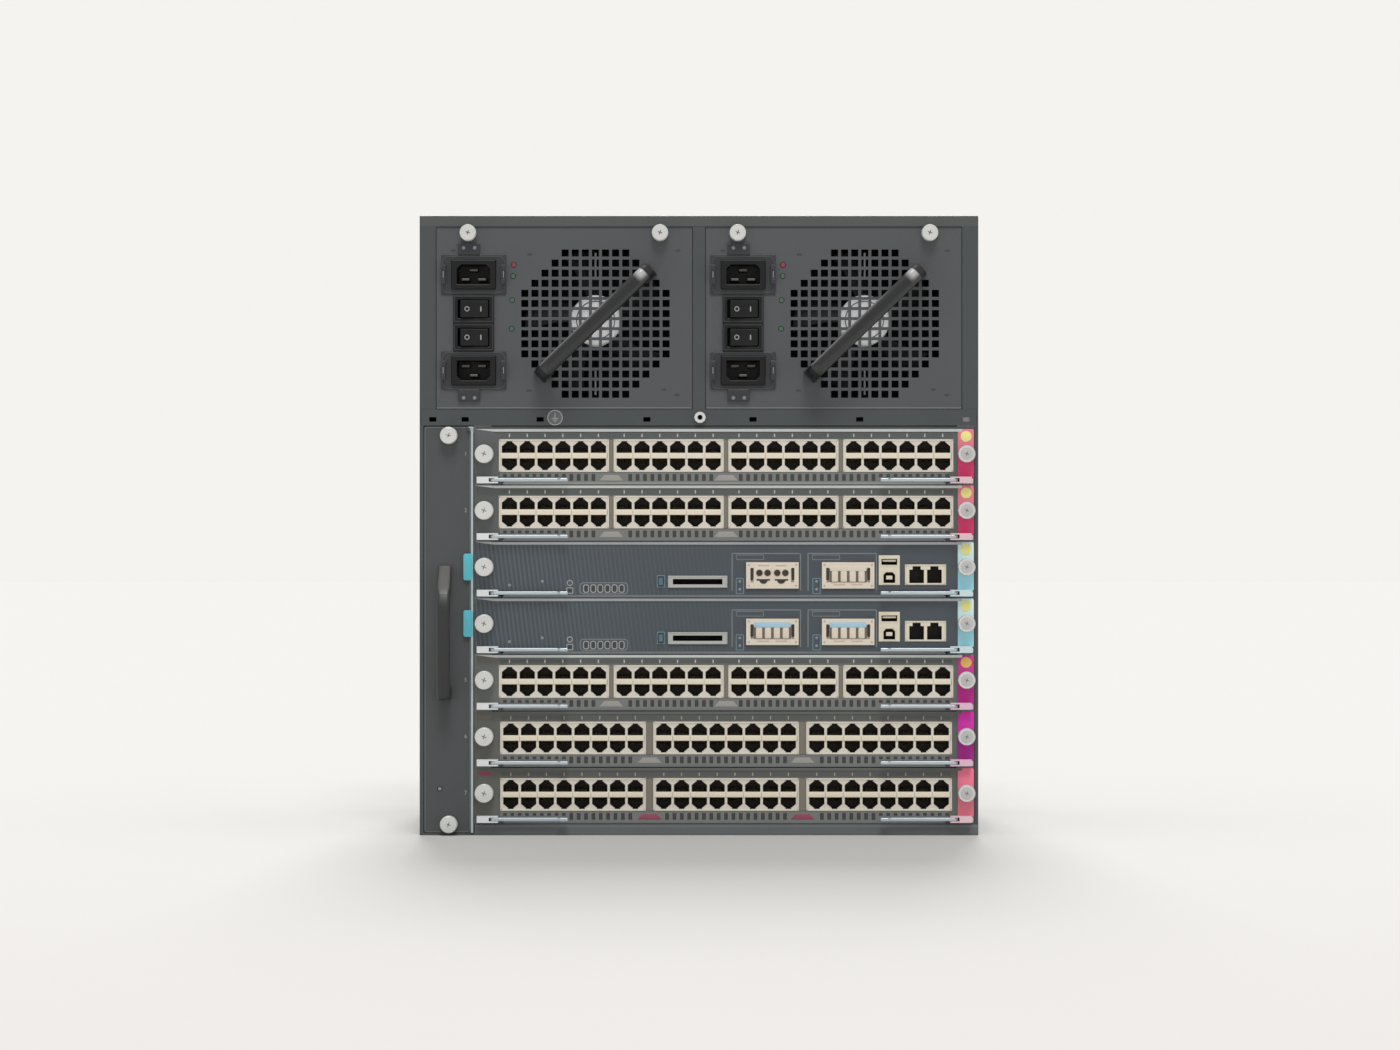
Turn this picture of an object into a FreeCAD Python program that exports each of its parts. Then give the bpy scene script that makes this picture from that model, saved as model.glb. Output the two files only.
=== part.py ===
import FreeCAD, Part
import math
import os

# Modular chassis switch: a seven-slot card cage with two power supplies above it
# and a side fan tray.  Millimetres, +Z up, +X to the right, front towards -Y.
# The origin is the middle of the footprint, on the surface that the chassis stands on.

Vec = FreeCAD.Vector

# ---------------------------------------------------------------- chassis sheet metal
chassis_w = 439.7
chassis_d = 317.5
sheet = 1.5
inner_sheet = 1.2
top_flange_h = 8.7
bottom_flange_h = 8.8
side_flange_w = 12.85
lip_w = 3.2
apron_h = 12.9
psu_bay_h = 143.5
divider_w = 10.0
shelf_flange_h = 11.0
module_gap = 0.4
seat_gap = 0.2
fit_gap = 0.1
slide_gap = 0.3

apron_hole_w = 5.6
apron_hole_h = 3.6
apron_hole_share = (-0.953, -0.837, -0.5686, -0.1865, 0.1933, 0.5754, 0.9575)
apron_hole_below_shelf = 8.0

vent_h = 11.0
vent_rise = 3.0
vent_cols = 1
vent_land = 22.0
vent_front = 46.0
vent_rear = 60.0

exhaust_slots = 5
exhaust_slot_w = 12.0
exhaust_pitch = 32.0
exhaust_slot_h = 96.0

# ---------------------------------------------------------------- card cage
slot_count = 7
slot_pitch = 44.45
slot_axis_up = 24.5
cage_headroom = 2.35
face_gap = 0.3
guide_inset = 13.0
rail_w = 5.0
rail_h = 7.0
groove_d = 3.2
rail_start = 24.0
guide_window_l = 196.0
guide_window_margin = 4.0
backplane_t = 3.2
backplane_rear_gap = 20.0
backplane_margin = 6.0
header_w = 64.0
header_h = 11.0
header_d = 10.0
header_x = 20.0

# ---------------------------------------------------------------- cards
board_t = 1.6
board_top = -14.3
face_flange_d = 9.0
lip_strip_h = 2.1
lip_strip_proud = 0.8
captive_screw_d = 14.0
captive_screw_l = 9.0
screw_left_in = 7.8
screw_right_in = 6.2
captive_screw_right_d = 13.0
knurl_sides = 10

port_pitch = 14.0
port_w = 11.5
port_pair_h = 23.3
port_depth = 13.0
block_rim = 1.4
block_h = 25.8
block_back = 2.0
block_drop = 1.3
mid_bar_h = 5.2
mid_bar_proud = 0.7
field_shift = 1.35
socket_proud = 0.6
six_port_gap = 3.5
eight_port_gap = 5.6

# ---------------------------------------------------------------- ejector levers
lever_l = 58.0
lever_t = 2.6
lever_drop = 20.5
lever_bar_w = 4.2
lever_boss_r = 3.2
lever_hook_l = 6.0
lever_hook_w = 2.0
lever_hook_ramp = 2.0
pivot_in = 15.6
pivot_out = 4.0
clevis_outer_in = 2.1
clevis_lug_t = 1.1
clevis_d = 7.4
clevis_root_gap = 0.8

# ---------------------------------------------------------------- control cards
cf_x = 175.6
cf_w = 46.8
cf_h = 9.5
cf_drop = 11.6
cf_slot_w = 39.0
cf_slot_h = 4.3
cf_depth = 24.0
cf_bezel_proud = 1.2
cf_body_in = 1.0
eject_x = 146.7
eject_w = 3.2
eject_h = 5.5
eject_drop = 11.4
eject_proud = 3.5
eject_stem_l = 20.0
bay_xs = (234.4, 294.0)
module_w = 41.3
module_h = 20.7
module_drop = 6.6
module_proud = 2.0
module_body_w = 36.0
module_body_h = 17.2
module_body_l = 62.0
optic_w = 10.6
optic_h = 8.4
optic_pitch = 14.4
optic_depth = 9.0
latch_slot_w = 2.4
latch_slot_h = 11.0
usb_x = 326.4
usb_w = 16.6
usb_h = 23.4
usb_drop = 2.5
usb_a_w = 12.4
usb_a_h = 4.6
usb_a_up = 6.4
usb_b_w = 9.2
usb_b_h = 8.4
usb_b_down = 5.9
usb_b_chamfer = 2.0
usb_depth = 12.0
console_x = 354.9
console_w = 32.4
console_h = 16.2
console_drop = 6.1
console_port_h = 10.6
console_notch_w = 6.4
console_notch_h = 2.6

# ---------------------------------------------------------------- power supplies
psu_rear_gap = 24.0
well_r = 61.5
well_d = 40.0
grille_x = 125.1
grille_z = 67.0
grille_pitch = 7.94
grille_hole = 5.6
grille_rows = (7, 9, 11, 13, 15, 15, 15, 15, 15, 15, 15, 13, 11, 9, 7)
psu_screw_d = 12.4
psu_screw_l = 9.0
psu_screw_x1 = 25.1
psu_screw_x2 = 176.0
psu_screw_drop = 4.5

entry_x = 29.3
inlet_w = 34.6
inlet_h = 22.8
inlet_proud = 4.0
inlet_corner = 3.0
inlet_body_w = 29.0
inlet_body_h = 18.6
inlet_body_l = 26.0
inlet_cavity_w = 26.0
inlet_cavity_h = 15.6
inlet_cavity_d = 21.0
inlet_cavity_corner = 3.2
inlet_1_z = 105.5
inlet_2_z = 30.0
blade_w = 6.4
blade_t = 2.0
blade_l = 15.0
blade_span = 13.0
blade_offset = 3.8
switch_z = 67.2
switch_w = 32.0
switch_h = 43.6
switch_proud = 2.5
switch_body_w = 28.5
switch_body_h = 39.5
switch_body_l = 22.0
switch_well_w = 24.4
switch_well_h = 14.6
switch_well_d = 11.5
switch_pitch = 22.3

rocker_l = 21.8
rocker_h = 13.4
rocker_dish = 1.5
rocker_crown = 2.6
rocker_depth = 5.0
rocker_axis_in = 1.0
rocker_tilt = 8.0

retainer_w = 51.0
retainer_h_1 = 31.4
retainer_h_2 = 29.6
retainer_t = 1.2
ear_w = 3.6
ear_h = 15.0
ear_proud = 5.5
ear_slot_w = 1.4
ear_slot_h = 7.0
bail_w = 17.0
bail_h = 9.0
bail_t = 2.6

handle_reach = 32.0
handle_span = 123.0
handle_angle = 44.0
handle_w = 12.0
handle_bar_t = 9.0
handle_post = 11.0
handle_corner = 7.0
handle_corner_soft = 2.1
handle_chamfer = 1.8

fan_hub_r = 20.0
fan_tip_r = 57.5
fan_front_gap = 8.0
fan_l = 24.0
fan_blades = 5
fan_hub_sides = 16
motor_sides = 10
blade_pitch_deg = 55.0
blade_thick = 1.8
blade_share = 0.8
blade_tip_trim = 0.12
motor_gap = 0.3

# ---------------------------------------------------------------- fan tray
tray_face_w = 38.8
tray_face_top_gap = 0.8
tray_rim_w = 2.0
tray_rim_proud = 2.6
tray_rim_radius = 5.0
tray_rear_gap = 26.0
tray_headroom = 3.0
tray_screw_d = 13.0
tray_screw_l = 9.0
tray_screw_x = 19.6
tray_screw_in = 7.0
tray_handle_x = 16.4
tray_handle_w = 10.0
tray_handle_z = 105.2
tray_handle_h = 105.0
tray_handle_reach = 26.0
tray_handle_bar = 8.0
tray_handle_foot = 10.0
tray_handle_slope = 24.0
tray_handle_chamfer = 3.0
tray_handle_soft = 2.0
tray_fan_count = 2
tray_fan_size = 140.0
tray_fan_l = 25.0
tray_fan_bore_r = 66.5
tray_fan_tip_r = 64.5
tray_fan_hub_r = 26.0
tray_fan_spacing = 8.0
tray_strut_t = 2.4
tray_strut_w = 7.0
tray_strut_in = 1.0
tray_blades = 5
tray_hub_sides = 10
tray_bore_sides = 16

# ---------------------------------------------------------------- grounding jack
jack_x = 0.8
jack_r = 4.5
jack_bore_r = 2.1
jack_l = 4.0
jack_bore_d = 3.4
jack_bore_sides = 8

# ---------------------------------------------------------------- derived places
octagon_cut = 1 - 1 / math.sqrt(2)
hexagon_side = math.sqrt(3) / 2
y_front = (handle_reach - chassis_d) / 2
y_back = y_front + chassis_d
y_rear_panel = y_back - sheet
x_side = chassis_w / 2
z_apron = bottom_flange_h + slot_count * slot_pitch + cage_headroom
z_shelf = z_apron + apron_h
z_bay_top = z_shelf + psu_bay_h
chassis_h = z_bay_top + top_flange_h

tray_left = -x_side + lip_w + module_gap
tray_right = tray_left + tray_face_w
tray_bottom = sheet + module_gap
tray_top = z_apron - tray_face_top_gap

card_left = tray_right + 2 * module_gap
card_right = x_side - lip_w - module_gap
card_mid = (card_left + card_right) / 2
guide_left = card_left + guide_inset
guide_right = card_right - guide_inset
y_flange = y_front + sheet + seat_gap
y_backplane = y_rear_panel - backplane_rear_gap - backplane_t
y_board = y_front + sheet
board_l = y_backplane - header_d - slide_gap - y_board
board_left = guide_left + rail_w - groove_d + slide_gap
board_right = guide_right - rail_w + groove_d - slide_gap
face_low = -slot_axis_up + face_gap
face_high = slot_pitch - slot_axis_up - face_gap

psu_w = (chassis_w - 2 * side_flange_w - divider_w) / 2
psu_face_w = psu_w - 2 * module_gap
psu_face_h = psu_bay_h - 2 * module_gap
psu_face_z = z_shelf + module_gap
psu_lefts = (-divider_w / 2 - psu_w + module_gap, divider_w / 2 + module_gap)
y_case = y_front + sheet
y_case_end = y_rear_panel - psu_rear_gap


# ---------------------------------------------------------------- helpers
def box(x0, x1, y0, y1, z0, z1):
    """A box between two corners."""
    return Part.makeBox(x1 - x0, y1 - y0, z1 - z0, Vec(x0, y0, z0))


def slab(cx, cz, w, h, y0, y1):
    """A box centred on (cx, cz) as seen from the front."""
    return box(cx - w / 2, cx + w / 2, y0, y1, cz - h / 2, cz + h / 2)


def prism_y(points, y0, y1):
    """A polygon of (x, z) points run from y0 to y1."""
    wire = Part.makePolygon([Vec(x, y0, z) for x, z in points + points[:1]])
    return Part.Face(wire).extrude(Vec(0, y1 - y0, 0))


def prism_x(points, x0, x1):
    """A polygon of (y, z) points run from x0 to x1."""
    wire = Part.makePolygon([Vec(x0, y, z) for y, z in points + points[:1]])
    return Part.Face(wire).extrude(Vec(x1 - x0, 0, 0))


def prism_z(points, z0, z1):
    """A polygon of (x, y) points run from z0 to z1."""
    wire = Part.makePolygon([Vec(x, y, z0) for x, y in points + points[:1]])
    return Part.Face(wire).extrude(Vec(0, 0, z1 - z0))


def ring(u, v, r, sides):
    """A regular polygon of (u, v) points with a flat side uppermost."""
    step = 2 * math.pi / sides
    first = math.pi / 2 - step / 2
    return [(u + r * math.cos(first + i * step), v + r * math.sin(first + i * step)) for i in range(sides)]


def knob(x, z, d, y0, y1):
    """The fluted grip of a captive thumbscrew."""
    return prism_y(ring(x, z, d / 2, knurl_sides), y0, y1)


def clipped(cx, cz, w, h, low, high):
    """A rectangle of (x, z) points with its lower and upper corners cut by low and high."""
    left, right, bottom, top = cx - w / 2, cx + w / 2, cz - h / 2, cz + h / 2
    points = []
    if low:
        points += [(left, bottom + low), (left + low, bottom), (right - low, bottom), (right, bottom + low)]
    else:
        points += [(left, bottom), (right, bottom)]
    if high:
        points += [(right, top - high), (right - high, top), (left + high, top), (left, top - high)]
    else:
        points += [(right, top), (left, top)]
    return points


def joined(shapes):
    """One solid from shapes that meet."""
    first = shapes[0]
    return first.fuse(shapes[1:]).removeSplitter() if len(shapes) > 1 else first


def pierced(shape, tools):
    """A shape less all the tools at once."""
    return shape.cut(Part.Compound(tools))


def save(name, solids):
    """Write one sub-part, which may hold several separate solids."""
    shape = solids[0] if len(solids) == 1 else Part.Compound(solids)
    shape.exportStep("parts/" + name + ".step")


def slot_z(slot):
    """Height of a slot's axis, with slot 1 at the top."""
    return bottom_flange_h + (slot_count - slot) * slot_pitch + slot_axis_up


# ---------------------------------------------------------------- chassis pieces
def chassis_shell():
    """The folded outer sheet, with its front flanges and side vents."""
    tube = box(-x_side, x_side, y_front, y_rear_panel, 0, chassis_h)
    inside = box(-x_side + sheet, x_side - sheet, y_front, y_rear_panel, sheet, chassis_h - sheet)
    y_lip = y_front + sheet
    flanges = [
        tube.cut(inside),
        box(-x_side, x_side, y_front, y_lip, z_bay_top, chassis_h),
        box(tray_right + module_gap, x_side, y_front, y_lip, 0, bottom_flange_h),
    ]
    for sign in (-1, 1):
        outer = sign * x_side
        flange = sign * (x_side - side_flange_w)
        lip = sign * (x_side - lip_w)
        flanges.append(box(min(outer, flange), max(outer, flange), y_front, y_lip, z_shelf, chassis_h))
        flanges.append(box(min(outer, lip), max(outer, lip), y_front, y_lip, 0, z_apron))
    shell = joined(flanges)
    vent_l = (chassis_d - vent_front - vent_rear - (vent_cols - 1) * vent_land) / vent_cols
    vents = []
    for slot in range(1, slot_count + 1):
        z0 = slot_z(slot) + vent_rise - vent_h / 2
        for col in range(vent_cols):
            y0 = y_front + vent_front + col * (vent_l + vent_land)
            vents.append(box(-x_side, x_side, y0, y0 + vent_l, z0, z0 + vent_h))
    return pierced(shell, vents)


def bay_shelf():
    """The floor of the supply bay, folded down in front as a pierced apron."""
    x_in = x_side - sheet
    plates = [
        box(-x_in, x_in, y_front, y_rear_panel, z_shelf - sheet, z_shelf),
        box(-x_in, x_in, y_front, y_front + sheet, z_apron, z_shelf),
        box(-x_in, -x_in + sheet, y_front, y_rear_panel, z_shelf - shelf_flange_h, z_shelf),
        box(x_in - sheet, x_in, y_front, y_rear_panel, z_shelf - shelf_flange_h, z_shelf),
    ]
    hole_z = z_shelf - apron_hole_below_shelf
    places = [share * x_side for share in apron_hole_share]
    holes = [slab(x, hole_z, apron_hole_w, apron_hole_h, y_front, y_front + sheet) for x in places]
    return pierced(joined(plates), holes)


def bay_divider():
    """The channel between the two supplies."""
    half = divider_w / 2
    y0, y1 = y_front, y_rear_panel
    front = box(-half, half, y0, y0 + inner_sheet, z_shelf, z_bay_top - fit_gap)
    sides = [
        box(-half, -half + inner_sheet, y0 + sheet + fit_gap, y1, z_shelf, chassis_h - sheet),
        box(half - inner_sheet, half, y0 + sheet + fit_gap, y1, z_shelf, chassis_h - sheet),
    ]
    bridges = [
        box(-half, -half + inner_sheet, y0, y0 + 2 * sheet, z_shelf, z_bay_top - fit_gap),
        box(half - inner_sheet, half, y0, y0 + 2 * sheet, z_shelf, z_bay_top - fit_gap),
    ]
    return joined([front] + sides + bridges)


def rear_panel():
    """The flat rear cover, slotted behind each supply."""
    plate = box(-x_side, x_side, y_rear_panel, y_back, 0, chassis_h)
    slots = []
    for left in psu_lefts:
        mid = left + psu_face_w / 2
        for i in range(exhaust_slots):
            x = mid + (i - (exhaust_slots - 1) / 2) * exhaust_pitch
            z = psu_face_z + psu_face_h / 2
            slots.append(slab(x, z, exhaust_slot_w, exhaust_slot_h, y_rear_panel, y_back))
    return pierced(plate, slots)


def backplane():
    """The vertical backplane board with one header for each slot."""
    low = bottom_flange_h + backplane_margin
    high = z_apron - backplane_margin
    x0, x1 = guide_left - rail_w, guide_right + rail_w
    solids = [box(x0, x1, y_backplane, y_backplane + backplane_t, low, high)]
    for slot in range(1, slot_count + 1):
        z0 = slot_z(slot) + board_top
        x0 = header_x - header_w / 2
        solids.append(box(x0, x0 + header_w, y_backplane - header_d, y_backplane, z0, z0 + header_h))
    return solids


def card_guide(sign):
    """One side of the card cage: a flanged wall open for air, bridged by a grooved rail for each slot."""
    x_wall = guide_right if sign > 0 else guide_left
    x_flange = x_side - 2 * sheet - fit_gap if sign > 0 else tray_right + module_gap
    x_back = x_wall + sign * inner_sheet
    z0, z1 = sheet, z_shelf - sheet
    wall = (min(x_wall, x_back), max(x_wall, x_back))
    flange = (min(x_wall, x_flange), max(x_wall, x_flange))
    pieces = [
        box(*wall, y_flange, y_backplane, z0, z1),
        box(*flange, y_flange, y_flange + inner_sheet, bottom_flange_h, z1),
    ]
    y_mid = (y_front + y_backplane) / 2
    window = box(
        *wall,
        y_mid - guide_window_l / 2,
        y_mid + guide_window_l / 2,
        bottom_flange_h + guide_window_margin,
        z_apron - guide_window_margin,
    )
    rails = []
    for slot in range(1, slot_count + 1):
        board_mid = slot_z(slot) + board_top - board_t / 2
        x_in = x_wall - sign * rail_w
        x_groove = x_in + sign * groove_d
        groove_h = board_t / 2 + slide_gap
        outline = [
            (x_wall, board_mid - rail_h / 2),
            (x_in, board_mid - rail_h / 2),
            (x_in, board_mid - groove_h),
            (x_groove, board_mid - groove_h),
            (x_groove, board_mid + groove_h),
            (x_in, board_mid + groove_h),
            (x_in, board_mid + rail_h / 2),
            (x_wall, board_mid + rail_h / 2),
        ]
        rails.append(prism_y(outline, y_front + rail_start, y_backplane))
    return joined([joined(pieces).cut(window)] + rails)


def esd_jack():
    """The wrist-strap jack on the apron."""
    z = z_apron + apron_h / 2
    y0 = y_front - jack_l
    body = knob(jack_x, z, 2 * jack_r, y0, y_front)
    return body.cut(prism_y(ring(jack_x, z, jack_bore_r, jack_bore_sides), y0, y0 + jack_bore_d))


# ---------------------------------------------------------------- fans
def rotor(hub_r, hub_sides, tip_r, length, blades):
    """A fan rotor on the Y axis from y = 0 to its length, with flat pitched blades."""
    pieces = [prism_y(ring(0, 0, hub_r, hub_sides), 0, length)]
    root = hub_r * blade_share
    chord = length * blade_share / math.sin(math.radians(blade_pitch_deg))
    tip = tip_r - chord * blade_tip_trim
    for i in range(blades):
        blade = box(-chord / 2, chord / 2, -blade_thick / 2, blade_thick / 2, root, tip)
        blade.rotate(Vec(0, 0, 0), Vec(0, 0, 1), blade_pitch_deg)
        blade.translate(Vec(0, length / 2, 0))
        blade.rotate(Vec(0, 0, 0), Vec(0, 1, 0), 360.0 * i / blades)
        pieces.append(blade)
    return joined(pieces)


# ---------------------------------------------------------------- fan tray
def tray_frame():
    """The tray's folded sheet: face, floor, roof, rear wall and the pierced fan wall."""
    x0, x1 = tray_left, tray_right
    y1 = y_rear_panel - tray_rear_gap
    z0, z1 = tray_bottom, tray_top - tray_headroom
    y_in = y_front + sheet
    x_wall = x1 - inner_sheet
    wall = box(x_wall, x1, y_front, y1, z0, z1)
    rim_top = tray_top
    rim = [
        (x1 - tray_rim_w, z0),
        (x1, z0),
        (x1, rim_top - tray_rim_radius),
        (x1 - tray_rim_radius / 2, rim_top - tray_rim_radius / 4),
        (x1 - tray_rim_radius, rim_top),
        (x1 - tray_rim_radius, rim_top - tray_rim_w),
        (x1 - tray_rim_w, rim_top - tray_rim_radius),
    ]
    pieces = [
        box(x0, x1, y_front, y_in, z0, tray_top),
        wall,
        box(x0, x1, y_front, y1, z0, z0 + inner_sheet),
        box(x0, x1, y_front, y1, z1 - inner_sheet, z1),
        box(x0, x1, y1 - inner_sheet, y1, z0, z1),
        prism_y(rim, y_front - tray_rim_proud, y_front),
    ]
    frame = joined(pieces)
    d = 2 * tray_fan_bore_r
    corner = d * octagon_cut
    bores = [prism_x(clipped(y, z, d, d, corner, corner), x_wall, x1) for y, z in tray_fan_places()]
    screws = [
        knob(x0 + tray_screw_x, z, tray_screw_d, y_front - tray_screw_l, y_front)
        for z in (tray_bottom + tray_screw_in, tray_top - tray_screw_in)
    ]
    return [pierced(frame, bores)] + screws


def tray_fan_places():
    """The (y, z) axes of the tray fans, stacked one above the other."""
    y = (y_front + sheet + y_rear_panel - tray_rear_gap) / 2
    middle = (tray_bottom + tray_top - tray_headroom) / 2
    step = tray_fan_size + tray_fan_spacing
    return [(y, middle + (i - (tray_fan_count - 1) / 2) * step) for i in range(tray_fan_count)]


def tray_handle():
    """The pull handle: an upright bar with a square foot and a sloped upper end."""
    reach, bar, foot, top = tray_handle_reach, tray_handle_bar, tray_handle_foot, tray_handle_h
    chamfer, soft = tray_handle_chamfer, tray_handle_soft
    outline = [
        (0, 0),
        (chamfer - reach, 0),
        (-reach, chamfer),
        (-reach, top - tray_handle_slope),
        (-soft, top),
        (0, top),
        (0, top - foot),
        (bar - reach, top - tray_handle_slope - bar / 2),
        (bar - reach, foot + soft),
        (bar - reach + soft, foot),
        (0, foot),
    ]
    x0 = tray_left + tray_handle_x - tray_handle_w / 2
    z0 = tray_bottom + tray_handle_z
    return prism_x([(y_front + y, z0 + z) for y, z in outline], x0, x0 + tray_handle_w)


def tray_fan_frames():
    """The square fan housings, each with its motor plate on four struts."""
    x1 = tray_right - inner_sheet
    x0 = x1 - tray_fan_l
    half = tray_fan_size / 2
    frames = []
    for y, z in tray_fan_places():
        frame = box(x0, x1, y - half, y + half, z - half, z + half)
        frame = frame.cut(prism_x(ring(y, z, tray_fan_bore_r, tray_bore_sides), x0, x1))
        x_strut = x0 + tray_strut_t
        arm, side = half - tray_strut_in, tray_strut_w / 2
        struts = [
            box(x0, x_strut, y - arm, y + arm, z - side, z + side),
            box(x0, x_strut, y - side, y + side, z - arm, z + arm),
            prism_x(ring(y, z, tray_fan_hub_r, tray_hub_sides), x0, x_strut),
        ]
        frames.append(joined([frame] + struts))
    return frames


def tray_rotor(index):
    """One tray rotor on its X axis, just clear of its motor plate."""
    y, z = tray_fan_places()[index]
    length = tray_fan_l - tray_strut_t - motor_gap - seat_gap
    shape = rotor(tray_fan_hub_r, tray_hub_sides, tray_fan_tip_r, length, tray_blades)
    shape.rotate(Vec(0, 0, 0), Vec(0, 0, 1), -90)
    shape.translate(Vec(tray_right - inner_sheet - tray_fan_l + tray_strut_t + motor_gap, y, z))
    return shape


# ---------------------------------------------------------------- power supplies
def square_wire(x0, x1, z0, z1):
    """A closed rectangle in the front plane."""
    points = [(x0, z0), (x1, z0), (x1, z1), (x0, z1), (x0, z0)]
    return Part.makePolygon([Vec(x, y_front, z) for x, z in points])


def psu_panel(left):
    """The supply's front sheet, punched with the fan grille, and its two captive screws."""
    z0 = psu_face_z
    wires = [square_wire(left, left + psu_face_w, z0, z0 + psu_face_h)]
    mid_row = (len(grille_rows) - 1) / 2
    half = grille_hole / 2
    for row, count in enumerate(grille_rows):
        z = z0 + grille_z + (row - mid_row) * grille_pitch
        for col in range(count):
            x = left + grille_x + (col - (count - 1) / 2) * grille_pitch
            wires.append(square_wire(x - half, x + half, z - half, z + half))
    for zc, w, h in (
        (inlet_1_z, inlet_body_w, inlet_body_h),
        (inlet_2_z, inlet_body_w, inlet_body_h),
        (switch_z, switch_body_w, switch_body_h),
    ):
        x, z = left + entry_x, z0 + zc
        dx, dz = w / 2 + fit_gap, h / 2 + fit_gap
        wires.append(square_wire(x - dx, x + dx, z - dz, z + dz))
    face = Part.makeFace(wires, "Part::FaceMakerBullseye")
    panel = face.extrude(Vec(0, sheet, 0))
    screws = []
    for x in (psu_screw_x1, psu_screw_x2):
        z = z0 + psu_face_h - psu_screw_drop
        screws.append(knob(left + x, z, psu_screw_d, y_front - psu_screw_l, y_front - seat_gap))
    return [panel] + screws


def psu_case(left):
    """The closed supply body, with the fan well and the recess behind the power entry."""
    x0, x1 = left + seat_gap, left + psu_face_w - seat_gap
    z0, z1 = z_shelf + slide_gap, psu_face_z + psu_face_h
    block = box(x0, x1, y_case, y_case_end, z0, z1)
    x, z = left + grille_x, psu_face_z + grille_z
    well_cut = 2 * well_r * octagon_cut
    deep = max(inlet_body_l, switch_body_l) + 2 * sheet
    recess_w = max(inlet_body_w, switch_body_w) + 4 * sheet
    recess_low = psu_face_z + inlet_2_z - inlet_body_h / 2 - 2 * sheet
    recess_high = psu_face_z + inlet_1_z + inlet_body_h / 2 + 2 * sheet
    recess_x = left + entry_x - recess_w / 2
    tools = [
        prism_y(clipped(x, z, 2 * well_r, 2 * well_r, well_cut, well_cut), y_case, y_case + well_d),
        box(recess_x, recess_x + recess_w, y_case, y_case + deep, recess_low, recess_high),
    ]
    motor_y = y_front + fan_front_gap + fan_l + motor_gap
    motor = prism_y(ring(x, z, fan_hub_r, motor_sides), motor_y, y_case + well_d)
    return joined([pierced(block, tools), motor])


def psu_handle(left):
    """The diagonal carrying handle over the grille."""
    half, reach, corner = handle_span / 2, handle_reach, handle_corner
    inner, bar = half - handle_post, reach - handle_bar_t
    soft = handle_corner_soft
    right_side = [
        (half, 0),
        (half, -reach + corner),
        (half - soft, -reach + soft),
        (half - corner, -reach),
    ]
    right_inner = [(inner - corner / 2, -bar), (inner, -bar + corner / 2), (inner, 0)]
    outline = right_side + [(-u, v) for u, v in reversed(right_side)]
    outline += [(-u, v) for u, v in reversed(right_inner)] + right_inner
    body = prism_z([(u, y_front + v) for u, v in outline], -handle_w / 2, handle_w / 2)
    front_edges = [
        e
        for e in body.Edges
        if abs(e.BoundBox.YMax - (y_front - reach)) < 1e-6 and e.Length > handle_w * 2
    ]
    body = body.makeChamfer(handle_chamfer, front_edges)
    body.rotate(Vec(0, 0, 0), Vec(0, 1, 0), -handle_angle)
    body.translate(Vec(left + grille_x, 0, psu_face_z + grille_z))
    return body


def power_entry(left):
    """The black inlets and the switch housing, as three separate mouldings."""
    solids = []
    x = left + entry_x
    for zc, turned in ((inlet_1_z, 1), (inlet_2_z, -1)):
        z = psu_face_z + zc
        rim = prism_y(clipped(x, z, inlet_w, inlet_h, 0, 0), y_front - inlet_proud, y_front)
        body = slab(x, z, inlet_body_w, inlet_body_h, y_front, y_front + inlet_body_l)
        low = inlet_cavity_corner if turned < 0 else 0
        high = inlet_cavity_corner if turned > 0 else 0
        y_floor = y_front - inlet_proud + inlet_cavity_d
        mouth = clipped(x, z, inlet_cavity_w, inlet_cavity_h, low, high)
        shell = joined([rim, body]).cut(prism_y(mouth, y_front - inlet_proud, y_floor))
        places = (
            (x, z + turned * blade_offset),
            (x - blade_span / 2, z - turned * blade_offset),
            (x + blade_span / 2, z - turned * blade_offset),
        )
        blades = [slab(bx, bz, blade_w, blade_t, y_floor - blade_l, y_floor) for bx, bz in places]
        solids.append(joined([shell] + blades))
    z = psu_face_z + switch_z
    housing = joined(
        [
            slab(x, z, switch_w, switch_h, y_front - switch_proud, y_front),
            slab(x, z, switch_body_w, switch_body_h, y_front, y_front + switch_body_l),
        ]
    )
    y0 = y_front - switch_proud
    y_well = y0 + switch_well_d
    wells = [
        slab(x, z + side * switch_pitch / 2, switch_well_w, switch_well_h, y0, y_well)
        for side in (-1, 1)
    ]
    solids.append(pierced(housing, wells))
    return solids


def rocker(left, upper):
    """One rocker, dished across its hinge and resting tilted to its on side."""
    half = rocker_l / 2
    outline = [
        (-half, -switch_proud - rocker_crown),
        (0, -switch_proud - rocker_crown + rocker_dish),
        (half, -switch_proud - rocker_crown),
        (half, rocker_axis_in),
        (half / 3, rocker_depth),
        (-half / 3, rocker_depth),
        (-half, rocker_axis_in),
    ]
    x = left + entry_x
    z = psu_face_z + switch_z + (switch_pitch / 2 if upper else -switch_pitch / 2)
    body = prism_z([(x + u, y_front + v) for u, v in outline], z - rocker_h / 2, z + rocker_h / 2)
    body.rotate(Vec(x, y_front + rocker_axis_in, z), Vec(0, 0, 1), rocker_tilt)
    return body


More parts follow.
